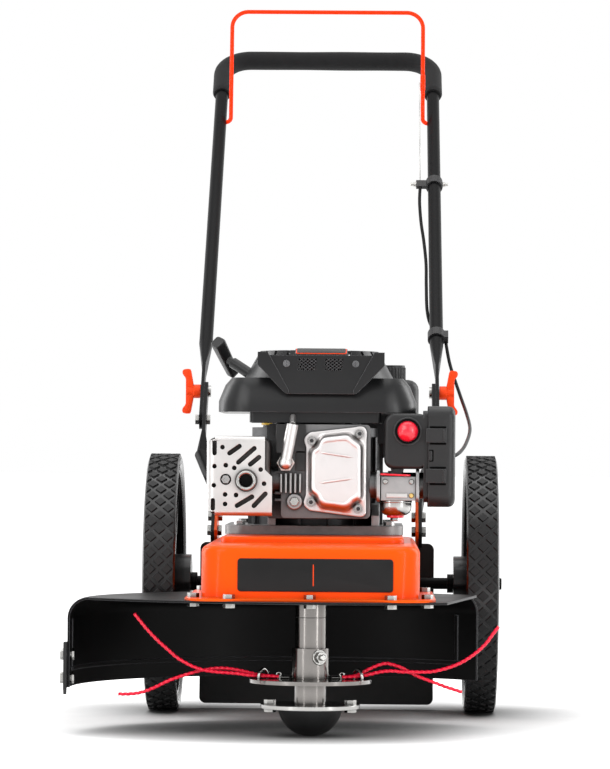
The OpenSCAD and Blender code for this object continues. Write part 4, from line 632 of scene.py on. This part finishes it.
def block_grip():
    turn = Matrix.Rotation(math.radians(-25), 3, "Y") @ Matrix.Rotation(math.radians(45), 3, "X")
    axis = turn @ Vector((0, 0, 1))
    out = (PULL - axis * PULL.dot(axis)).normalized()
    side = axis.cross(out)
    rings = []
    for at, size in GRIP_SIZES:
        ring = rounded_outline(GRIP_WIDE * size, GRIP_DEEP * size, GRIP_CORNER * size)
        rings.append([GRIP_AT + axis * at + out * a + side * b for a, b in ring])
    grip = loft("block_grip", rings, 30)
    dress(grip, "black_plastic", "starter_grip")
    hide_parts("starter_grip")
    path = [GRIP_AT - PULL * (STEM_START + (STEM_LEN - STEM_START) * i / 8) for i in range(9)]
    stem = tube("grip_stem", path, [0.0065 - 0.00022 * i for i in range(9)], sides=28)
    dress(stem, "black_plastic", "starter_grip")


block_grip()

# Wing knobs: a hub on the bolt and two wings with a lobe at each end
KNOB_X, KNOB_V = 173.1, 67
KNOB_HUB = [(0.0005, 0.0172), (0.00415, 0.0172), (0.00415, 0), (0.0100, 0), (0.0100, 0.0098), (0.0094, 0.0106),
            (0.0076, 0.0112), (0.0076, 0.0206), (0.0070, 0.0214), (0.0005, 0.0216)]
KNOB_WING = [(10.4, 10), (12.2, 20), (14.3, 30.4), (16.0, 32.2), (20.5, 32.5), (25.0, 31.4), (26.6, 28.6),
             (26.3, 25.4), (24.6, 22.6), (22.6, 20.0), (21.6, 17.0)]
WING_ROOT, WING_HALF, WING_ROUND = 4.2, 6.0, 1.5


def wing_knob(name, node, side):
    seat = on_handle(side * KNOB_X, KNOB_V, 0)
    bm = bmesh.new()
    along = Matrix.Translation(seat) @ Matrix.Rotation(math.radians(90 * side), 4, "Y")
    skin(bm, turned_rings(KNOB_HUB, along, 48))
    edge = curve_through([(x, z, 0) for x, z in KNOB_WING], 1.2)
    edge = [Vector((edge[0].x, WING_ROOT, 0))] + edge + [Vector((edge[-1].x, WING_ROOT, 0))]
    inward = [Vector((b.y - a.y, a.x - b.x, 0)).normalized()
              for a, b in zip(edge[-1:] + edge[:-1], edge[1:] + edge[:1])]
    for up in (1, -1):
        rings = []
        for half, turns in ((-1, (90, 60, 30, 0)), (1, (0, 30, 60, 90))):
            for a in turns:
                inset = WING_ROUND * (1 - math.cos(math.radians(a)))
                y = half * (WING_HALF - WING_ROUND + WING_ROUND * math.sin(math.radians(a)))
                shape = [p + way * inset for p, way in zip(edge, inward)]
                rings.append([seat + MM * Vector((side * p.x, y, up * p.y)) for p in shape])
        skin(bm, rings)
    obj = mesh_object(name, bm, 32)
    dress(obj, "orange_plastic", node)
    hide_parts(node)


wing_knob("wing_knob_left", "knob_left", -1)
wing_knob("wing_knob_right", "knob_right", 1)


# Foam grip with its soft rolled ends
def u_path(x, low, top, bend, step=5):
    """Points up the left leg, across the top and down the right leg of a U."""
    rise = top - bend - low
    n = int(rise / step)
    left = [(-x, low + rise * i / n, 0) for i in range(n)]
    for a in range(0, 91, 6):
        turn = math.radians(a)
        left.append((bend - x - bend * math.cos(turn), top - bend + bend * math.sin(turn), 0))
    m = int(2 * (x - bend) / step)
    across = [(bend - x + 2 * (x - bend) * i / m, top, 0) for i in range(1, m)]
    return left + across + [(-px, py, 0) for px, py, _ in reversed(left)]


FOAM_R, SWELL, ROLL_IN, ROLL_LEN = 0.0150, 0.00012, 0.0018, 0.004
foam_path = [on_handle(*p) for p in u_path(x=170, low=860, top=963, bend=45)]
random.seed(7)
wave = [random.uniform(-1, 1) for _ in range(9)]
runs = [0.0]
for a, b in zip(foam_path, foam_path[1:]):
    runs.append(runs[-1] + (b - a).length)
total = runs[-1]
radii = []
for s in runs:
    end = min(s, total - s)
    swell = sum(SWELL * w * math.sin((k + 1) * 3.1 * s / total + k) for k, w in enumerate(wave))
    roll = ROLL_IN * max(0.0, 1 - end / ROLL_LEN) ** 2
    radii.append(FOAM_R + swell - roll)
foam = tube("foam_sleeve", foam_path, radii, sides=32)
dress(foam, "foam_black", "handle")
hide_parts("foam_grip")

# Moulded and pressed shells
smooth_copy("moulded_shroud", "blower_shroud", "shroud_plastic")
smooth_copy("pressed_deck", "deck", "orange_paint")
smooth_copy("moulded_cleaner_cover", "air_cleaner_cover", "black_plastic")
smooth_copy("moulded_cleaner_base", "air_cleaner_base", "black_plastic")
smooth_copy("moulded_tank", "fuel_tank", "black_plastic")

# Slots, ribs and catch of the air cleaner's lid, and the groove round the primer; the slots and the groove are flat
# dark marks of painted shade
LID_FRONT, LATCH_FRONT, LATCH_H = 0.112, 0.107, 0.018
SLOT_X, SLOT_OUT, RIB_X, CATCH_Z = 0.1613, 0.0017, 0.1688, 0.3556
PRIMER_RING = (0.122, 0.114, 0.387)
for i, z in enumerate((0.32044, 0.37284)):
    for j, slot_z in enumerate((z - SLOT_OUT, z + LATCH_H + SLOT_OUT)):
        trim("lid_slot_shade_%d" % (2 * i + j), rounded_outline(0.0215, 0.0026, 0.0011), 0.0003, 0.0,
             facing_front(SLOT_X, LID_FRONT, slot_z), "recess_shade_black")
    trim("latch_rib_%d" % i, rounded_outline(0.003, 0.0145, 0.0008), 0.0009, 0.0004,
         facing_front(RIB_X, LATCH_FRONT, z + LATCH_H / 2), "black_plastic")
trim("lid_catch_slot_shade", rounded_outline(0.0062, 0.0155, 0.0014), 0.0003, 0.0,
     facing_front(0.1526, LID_FRONT, CATCH_Z), "recess_shade_black")
trim("lid_catch", rounded_outline(0.0042, 0.0125, 0.0014), 0.0008, 0.0,
     facing_front(0.1518, LID_FRONT, CATCH_Z), "black_plastic")
fitting("primer_groove_shade", [(0.0140, 0), (0.0163, 0), (0.0163, 0.0003), (0.0140, 0.0003)],
        facing_front(*PRIMER_RING), "recess_shade_black", sides=56, loop=True)

# Bare plates on the deck and on the shroud
DECK_FRONT, PLATE_Z = -0.085, 0.2055
trim("deck_plate", rounded_outline(0.194, 0.041, 0.004), 0.0012, 0.0004,
     facing_front(0.0065, DECK_FRONT, PLATE_Z), "grey_plate")
trim("deck_plate_bar", rounded_outline(0.0013, 0.027, 0.0006, 3), 0.0005, 0.0,
     facing_front(0.004, DECK_FRONT - 0.0012, PLATE_Z), "orange_plastic")
BADGE_SEAT = Matrix.Translation((0.009, 0.142, 0.49025)) @ Matrix.Rotation(math.atan2(7.5, 24), 4, "X")
trim("shroud_badge", rounded_outline(0.066, 0.0235, 0.003), 0.0010, 0.0003, BADGE_SEAT,
     "orange_plastic")
trim("shroud_badge_face", rounded_outline(0.0635, 0.021, 0.0022), 0.0009, 0.0003,
     BADGE_SEAT @ Matrix.Translation((0, 0, 0.0006)), "grey_plate")

# Valve cover: flange with a lobe at each screw, and a pressed panel
COVER = [(0, 0.12), (0.05, 0.07), (0.93, 0), (1, 0.03), (1, 0.96), (0.95, 1), (0.06, 0.93), (0, 0.88)]
COVER_SCREWS = [(0.115, 0.82), (0.865, 0.895), (0.11, 0.18), (0.85, 0.115)]
COVER_CREASES = [(0.24, 0.70, 0.76, 0.65), (0.24, 0.38, 0.76, 0.43)]
LOBE_R, SCREW_ROOM = 0.0098, 0.0086
RIM_SHARE, RIM_MOST, PANEL_SHARE, COVER_RAYS = 0.945, 1.01, 0.86, 216
COVER_HEAD_Y = 0.1215


def soften(values, window):
    n = len(values)
    span = range(-window, window + 1)
    return [sum(values[(i + k) % n] for k in span) / len(span) for i in range(n)]


def pressed_cover():
    low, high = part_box("valve_cover")
    width, height = high.x - low.x, high.z - low.z

    def at(share):
        return Vector(((share[0] - 0.5) * width, (share[1] - 0.5) * height))

    outline = [at(c) for c in COVER]
    screws = [at(c) for c in COVER_SCREWS]
    mid = (low + high) / 2
    flange, panel, ways = [], [], []
    for k in range(COVER_RAYS):
        a = 2 * math.pi * k / COVER_RAYS
        d = Vector((math.cos(a), math.sin(a)))
        far = clipped(Vector((0, 0)), d, outline)[1]
        rim, inner = RIM_SHARE * far, PANEL_SHARE * far
        for c in screws:
            along, off = c.dot(d), abs(c.x * d.y - c.y * d.x)
            if along > 0 and off < LOBE_R:
                rim = max(rim, along + math.sqrt(LOBE_R ** 2 - off ** 2))
            if along > 0 and off < SCREW_ROOM:
                inner = min(inner, along - math.sqrt(SCREW_ROOM ** 2 - off ** 2))
        ways.append(d)
        flange.append(min(rim, RIM_MOST * far))
        panel.append(inner)
    flange = soften(flange, 1)
    panel = soften(soften(panel, 4), 3)

    def ring(reach, depth, share=1.0, less=0.0):
        return [(mid.x + d.x * (r * share - less), high.y - depth, mid.z + d.y * (r * share - less))
                for d, r in zip(ways, reach)]

    rings = [ring(flange, 0), ring(flange, 0.0042), ring(flange, 0.005, less=0.0009),
             ring(panel, 0.005, 1.03), ring(panel, 0.0058), ring(panel, 0.0125, 0.945), ring(panel, 0.0160, 0.905),
             ring(panel, 0.0175, 0.87), ring(panel, 0.018, 0.83), ring(panel, 0.018, 0.80),
             ring(panel, 0.0171, 0.785), ring(panel, 0.0171, 0.4)]
    obj = loft("pressed_cover", rings, 28)
    dress(obj, "satin_aluminium", "chassis")
    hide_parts("valve_cover")
    for i, c in enumerate(COVER_CREASES):
        ends = [at(c[:2]), at(c[2:])]
        path = [ends[0].lerp(ends[1], k / 20) for k in range(21)]
        path = [Vector((mid.x + p.x, high.y - 0.0168, mid.z + p.y)) for p in path]
        taper = [0.0015 * min(1.0, 0.25 + min(k, 20 - k) / 4) for k in range(21)]
        dress(tube("cover_crease_%d" % i, path, taper, sides=12), "satin_aluminium", "chassis")
    for i, c in enumerate(screws):
        fitting("cover_socket_%d" % i, [(0.0005, 0), (0.0029, 0), (0.0027, 0.0003), (0.0005, 0.0003)],
                facing_front(mid.x + c.x, COVER_HEAD_Y, mid.z + c.y), "black_oxide",
                sides=6, angle=20)


pressed_cover()

# Muffler guard: slotted sheet with a rolled side and folded top and foot
GUARD_SLOTS = [(0.35, 0.785, 0.5, 0.873), (0.485, 0.671, 0.727, 0.848), (0.667, 0.646, 0.80, 0.737),
               (0.47, 0.127, 0.697, 0.24), (0.727, 0.127, 0.9, 0.278), (0.12, 0.785, 0.12, 0.93),
               (0.1, 0.09, 0.1, 0.19)]
GUARD_HOLES = [(0.295, 0.633), (0.424, 0.6), (0.826, 0.582), (0.288, 0.266), (0.455, 0.26), (0.242, 0.86),
               (0.879, 0.405), (0.121, 0.62), (0.114, 0.38), (0.288, 0.146)]
ROLL_R, FOLD_R, GUARD_SHEET = 0.011, 0.0055, 0.0013
SIDE_DEEP, FOLD_DEEP, HOLE_R = 0.036, 0.029, 0.0031
STEP_IN, STEP_LOW, STEP_HIGH = 0.0096, 0.052, 0.043
OUTLET_AT, OUTLET_R = (0.606, 0.443), 0.0144
GUARD_BOLT_AT, GUARD_BOLT_R = (0.295, 0.456), 0.0072


def rolled_guard():
    low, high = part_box("muffler_guard")
    width, height = high.x - low.x, high.z - low.z
    bend = ROLL_R * math.pi / 2
    bend_end = low.x + ROLL_R
    bend_start = bend_end - bend

    def unroll(x):
        return x if x >= bend_end else bend_end - ROLL_R * math.asin(min(1.0, (bend_end - x) / ROLL_R))

    def at(u, v):
        return Vector((unroll(low.x + u * width), low.z + v * height))

    def slot(a, b, half, steps=8):
        along = (b - a).normalized() if (b - a).length > 1e-6 else Vector((1, 0))
        side = Vector((-along.y, along.x))
        pts = []
        for centre, sign in ((b, 1), (a, -1)):
            for k in range(steps + 1):
                turn = math.pi * k / steps - math.pi / 2
                pts.append(centre + sign * half * (math.cos(turn) * along + math.sin(turn) * side))
        return pts

    top, foot = high.z - FOLD_R, low.z + FOLD_R
    step_x = high.x - STEP_IN
    sheet = [(bend_start - SIDE_DEEP, foot), (high.x, foot), (high.x, high.z - STEP_LOW),
             (step_x, high.z - STEP_HIGH), (step_x, top), (bend_start - SIDE_DEEP, top)]
    holes = [slot(at(*c[:2]), at(*c[2:]), HOLE_R) for c in GUARD_SLOTS]
    holes += [slot(at(*c), at(*c), HOLE_R) for c in GUARD_HOLES]
    outlet = Vector((low.x + width * OUTLET_AT[0], low.z + height * OUTLET_AT[1]))
    holes.append(slot(outlet, outlet, OUTLET_R, 20))
    bolt = at(*GUARD_BOLT_AT)
    holes.append(slot(bolt, bolt, GUARD_BOLT_R, 12))
    curve = bpy.data.curves.new("guard_flat", "CURVE")
    curve.dimensions = "2D"
    curve.fill_mode = "BOTH"
    for loop in [sheet] + holes:
        line = curve.splines.new("POLY")
        line.points.add(len(loop) - 1)
        for point, c in zip(line.points, loop):
            point.co = (c[0], c[1], 0, 1)
        line.use_cyclic_u = True
    flat = bpy.data.objects.new("guard_flat", curve)
    scene.collection.objects.link(flat)
    mesh = bpy.data.meshes.new_from_object(flat.evaluated_get(bpy.context.evaluated_depsgraph_get()))
    bm = bmesh.new()
    bm.from_mesh(mesh)
    bpy.data.objects.remove(flat)
    bpy.data.curves.remove(curve)
    bpy.data.meshes.remove(mesh)
    bmesh.ops.remove_doubles(bm, verts=bm.verts, dist=1e-6)
    for k in range(11):
        bmesh.ops.bisect_plane(bm, geom=bm.verts[:] + bm.edges[:] + bm.faces[:], dist=1e-6,
                               plane_co=(bend_start + bend * k / 10, 0, 0), plane_no=(1, 0, 0))
    for v in bm.verts:
        u, z = v.co.x, v.co.y
        x, y = u, low.y
        if u < bend_start:
            x, y = low.x, low.y + ROLL_R + bend_start - u
        elif u < bend_end:
            turn = (bend_end - u) / ROLL_R
            x, y = bend_end - ROLL_R * math.sin(turn), low.y + ROLL_R - ROLL_R * math.cos(turn)
        v.co = (x, y, z)
    for edge, sign, right in ((top, 1, step_x), (foot, -1, high.x)):
        turns = [math.radians(a) for a in range(0, 91, 10)]
        fold = [(low.y + FOLD_R - FOLD_R * math.cos(a), edge + sign * FOLD_R * math.sin(a)) for a in turns]
        fold.append((low.y + FOLD_DEEP, edge + sign * FOLD_R))
        left = [bm.verts.new((bend_end, y, z)) for y, z in fold]
        far = [bm.verts.new((right, y, z)) for y, z in fold]
        for i in range(len(fold) - 1):
            bm.faces.new((left[i], far[i], far[i + 1], left[i + 1]))
    bmesh.ops.remove_doubles(bm, verts=bm.verts, dist=1e-6)
    bmesh.ops.recalc_face_normals(bm, faces=bm.faces)
    lean = sum((f.normal.y * f.calc_area() for f in bm.faces), 0.0)
    bmesh.ops.solidify(bm, geom=bm.faces[:], thickness=GUARD_SHEET if lean < 0 else -GUARD_SHEET)
    obj = mesh_object("rolled_guard", bm, 30)
    dress(obj, "steel_sheet", "chassis")
    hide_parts("muffler_guard")


rolled_guard()
fitting("outlet_lip", [(0.0092, 0), (0.0126, 0), (0.0126, 0.0010), (0.0118, 0.0016), (0.0100, 0.0016),
                       (0.0092, 0.0010)], facing_front(-0.08649, 0.091, 0.32163), "zinc",
        sides=48, loop=True)

# Float bowl, its washer and drain screw, and the small fittings of the carburettor
bowl_low, bowl_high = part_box("float_bowl")
bowl_top = Matrix.Translation(((bowl_low.x + bowl_high.x) / 2, (bowl_low.y + bowl_high.y) / 2, bowl_high.z))
bowl = fitting("cup_bowl", [(0.001, 0), (0.0215, 0), (0.0215, -0.0022), (0.0209, -0.003), (0.0209, -0.008),
                            (0.0204, -0.0120), (0.0186, -0.0160), (0.0145, -0.0188), (0.0110, -0.0197),
                            (0.001, -0.0197)], bowl_top, "plate_steel", sides=56)
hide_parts("float_bowl")
fitting("bowl_washer", [(0.001, -0.0190), (0.0112, -0.0190), (0.0112, -0.0218), (0.0102, -0.0226),
                        (0.001, -0.0226)], bowl_top, "red_rubber")
fitting("bowl_drain", [(0.001, -0.0220), (0.0066, -0.0220), (0.0066, -0.0262), (0.0058, -0.0270),
                       (0.001, -0.0270)], bowl_top, "zinc", sides=6, angle=20)
carb_low, carb_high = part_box("carburettor")
carb_y = (carb_low.y + carb_high.y) / 2
for i, x in enumerate((0.0825, 0.1335)):
    trim("carb_flange_%d" % i, rounded_outline(0.050, 0.043, 0.008), 0.0042, 0.0006,
         Matrix.Translation((x, carb_y, 0.3165)) @ ALONG_X, "cast_aluminium")
SCREW = [(0.0005, 0), (0.0034, 0), (0.0034, 0.0016), (0.0026, 0.0028), (0.0005, 0.0028)]
for i, (x, z, mat) in enumerate(((0.0935, 0.3215, "zinc"), (0.1275, 0.3215, "zinc"), (0.1275, 0.3035, "brass"))):
    fitting("carb_screw_%d" % i, SCREW, facing_front(x, carb_low.y + 0.0005, z), mat, sides=24)
trim("carb_plate", rounded_outline(0.027, 0.0055, 0.001), 0.0009, 0.0002,
     facing_front(0.1085, carb_low.y, 0.3035), "steel_sheet")
ROD = [(88, 4, 331), (88, -4, 331), (92, -7, 331), (100, -7.5, 330.6), (112, -7.5, 330.2), (121, -7, 330),
       (125, -4, 330), (125, 4, 330)]
rod_path = curve_through([Vector((x * MM, carb_low.y + y * MM, z * MM)) for x, y, z in ROD], 0.0015)
dress(tube("link_rod", rod_path, 0.0013, sides=12), "red_rubber", "chassis")
fitting("choke_lever", [(0.001, 0), (0.0085, 0), (0.0085, 0.003), (0.0055, 0.0036), (0.0055, 0.006),
                        (0.001, 0.006)], facing_front(0.109, carb_low.y + 0.014, 0.3385),
        "black_oxide", sides=32)

# Ports and fittings on the front of the cylinder head
HEAD_Y = 0.131
HEAD_BOSS = facing_front(-0.0245, HEAD_Y, 0.2945)
for i in range(5):
    trim("port_fin_%d" % i, rounded_outline(0.0026, 0.027 - 0.0012 * abs(i - 2), 0.0012), 0.0075, 0.0006,
         facing_front(-0.0420 + 0.0062 * i, HEAD_Y, 0.3185), "cast_aluminium")
fitting("head_boss", [(0.001, 0), (0.0105, 0), (0.0105, 0.0045), (0.0092, 0.006), (0.001, 0.006)], HEAD_BOSS,
        "cast_aluminium")
fitting("head_boss_bolt", [(0.001, 0.0055), (0.0062, 0.0055), (0.0062, 0.0095), (0.0055, 0.0102),
                           (0.001, 0.0102)], HEAD_BOSS, "zinc", sides=6, angle=20)
# Painted shade: two dark sheets over the head's top stand for the shade there.
for i, (x, z, w, h) in enumerate(((-0.0295, 0.3765, 0.039, 0.037), (-0.0170, 0.3475, 0.013, 0.026))):
    trim("head_shade_sheet_%d" % i, rounded_outline(w, h, 0.002), 0.0012, 0.0003, facing_front(x, HEAD_Y, z),
         "dome_black")

# Grilles on the vents of the shroud's panel
VENT = [(-0.0118, 0.0078), (0.0118, 0.0078), (0.0096, -0.0078), (-0.0058, -0.0078)]
VENT_PITCH, VENT_BAR, VENT_SLANT, PANEL_Y, VENT_Z = 0.0033, 0.0009, 38, 0.124, 0.473


def vent_grille(index, x, mirror):
    """Dark trapezoid, painted shade standing for the vents' dark holes, with a lattice of crossed bars, on the
    shroud's panel.
    """
    outline = [Vector((mirror * a, b)) for a, b in VENT]
    outline = outline if mirror > 0 else outline[::-1]
    panel = facing_front(x, PANEL_Y, VENT_Z)
    trim("vent_shade_%d" % index, outline, 0.0003, 0.0, panel, "recess_shade_black")
    bm = bmesh.new()
    for level, angle in enumerate((VENT_SLANT, -VENT_SLANT)):
        way = Vector((math.cos(math.radians(angle)), math.sin(math.radians(angle))))
        side = Vector((-way.y, way.x))
        for k in range(-6, 7):
            mid = side * (VENT_PITCH * k)
            ends = clipped(mid, way, outline)
            if ends and ends[1] - ends[0] > VENT_PITCH:
                half = side * VENT_BAR / 2
                corners = [mid + way * ends[0] - half, mid + way * ends[1] - half,
                           mid + way * ends[1] + half, mid + way * ends[0] + half]
                skin(bm, [[panel @ Vector((c.x, c.y, h)) for c in corners]
                          for h in (0.0002, 0.0007 + 0.0001 * level)])
    dress(mesh_object("vent_lattice_%d" % index, bm, 30), "shroud_plastic", "chassis")


vent_grille(0, -0.0085, 1)
vent_grille(1, 0.0265, -1)

# Gussets between the base flange and the crankcase
for i, (x, rear) in enumerate(((-0.061, 0.268), (0.076, 0.303))):
    outline = [(0.2105, 0.2615), (rear, 0.2615), (rear, 0.292), (0.222, 0.290), (0.2105, 0.276)]
    trim("base_gusset_%d" % i, outline, 0.0105, 0.0008, Matrix.Translation((x, 0, 0)) @ ALONG_X,
         "cast_aluminium")

# Washer and bolt end at the sleeve's cross bolt
BOLT_TURN = math.radians(30)
bolt_way = Vector((math.sin(BOLT_TURN), -math.cos(BOLT_TURN), 0))
bolt_side = Vector((math.cos(BOLT_TURN), math.sin(BOLT_TURN), 0))
bolt_frame = Matrix((bolt_side, Vector((0, 0, 1)), bolt_way)).transposed().to_4x4()
bolt_frame.translation = Vector((0, 0, 0.10008))
fitting("sleeve_washer", [(0.001, 0.0222), (0.0100, 0.0222), (0.0100, 0.0242), (0.0094, 0.0247), (0.001, 0.0247)],
        bolt_frame, "zinc", body="line_head")
fitting("sleeve_bolt_end", [(0.001, 0.0290), (0.0040, 0.0290), (0.0040, 0.0332), (0.0033, 0.0340), (0.001, 0.0340)],
        bolt_frame, "zinc", body="line_head")


# Studio
def area(name, at, aim, size, power, size_y=None):
    data = bpy.data.lights.new(name, "AREA")
    data.shape = "RECTANGLE"
    data.size = size
    data.size_y = size_y or size
    data.energy = power
    obj = bpy.data.objects.new(name, data)
    scene.collection.objects.link(obj)
    obj.location = at
    obj.rotation_euler = (Vector(aim) - Vector(at)).to_track_quat("-Z", "Y").to_euler()


area("key", (-1.9, -2.6, 2.6), (0, 0.3, 0.35), 2.4, 68)
area("fill", (2.2, -2.6, 1.7), (0, 0.3, 0.35), 2.4, 38)
area("top", (0, 0.4, 3.2), (0, 0.4, 0.3), 3.0, 56)
area("strip_left", (-2.1, -2.1, 0.55), (0, 0.1, 0.35), 0.4, 11, 1.5)
area("strip_right", (2.0, -1.7, 0.55), (0, 0.1, 0.35), 0.4, 13, 1.5)
area("side_left", (-2.4, 1.6, 1.2), (0, 0.5, 0.4), 1.2, 38, 2.2)
area("side_right", (2.4, 1.6, 1.2), (0, 0.5, 0.4), 1.2, 38, 2.2)


def white_for_camera(nt):
    """1 for camera, glossy and transmission rays."""
    rays = add(nt, "LightPath").outputs
    seen = add(nt, "Math", {0: rays["Is Camera Ray"], 1: rays["Is Glossy Ray"]}, operation="MAXIMUM")
    return add(nt, "Math", {0: seen.outputs["Value"], 1: rays["Is Transmission Ray"]},
               operation="MAXIMUM").outputs["Value"]


WHITE = (1, 1, 1, 1)
scene.world = bpy.data.worlds.new("studio")
scene.world.use_nodes = True
sky = scene.world.node_tree
feed(sky, sky.nodes["Background"], {"Color": WHITE, "Strength": remap(sky, white_for_camera(sky), 0.4, 1.0)})


# Floor, darkened close under the part by a painted shadow and fading to white with distance
def floor_material():
    m, nt, bsdf = new_material("floor")
    # Painted shadow: ambient occlusion darkens the floor's colour close under the part.
    occlusion_shade = add(nt, "AmbientOcclusion", {"Distance": 0.22}, samples=16).outputs["AO"]
    feed(nt, bsdf, {"Base Color": ramp(nt, occlusion_shade, (0.04, 0.04, 0.04), (0.95, 0.95, 0.95), 0.3, 0.9),
                    "Roughness": 0.9, "Specular IOR Level": 0.1})
    away = add(nt, "VectorMath", {0: object_place(nt), 1: (0, 0.35, 0)}, operation="DISTANCE").outputs["Value"]
    fade = remap(nt, away, 0.0, 0.75, 0.3, 0.9, interpolation_type="SMOOTHSTEP")
    lit = add(nt, "Math", {0: white_for_camera(nt), 1: fade}, operation="MULTIPLY").outputs["Value"]
    glow = add(nt, "Emission", {"Color": WHITE, "Strength": lit}).outputs["Emission"]
    both = add(nt, "AddShader", {0: bsdf.outputs["BSDF"], 1: glow}).outputs["Shader"]
    feed(nt, nt.nodes["Material Output"], {"Surface": both})
    return m


floor_mesh = bpy.data.meshes.new("floor")
floor_mesh.from_pydata([(-30, -8, 0), (30, -8, 0), (30, 60, 0), (-30, 60, 0)], [], [(0, 1, 2, 3)])
floor = link(floor_mesh, "floor")
floor.location.z = -0.0005
floor.data.materials.append(floor_material())
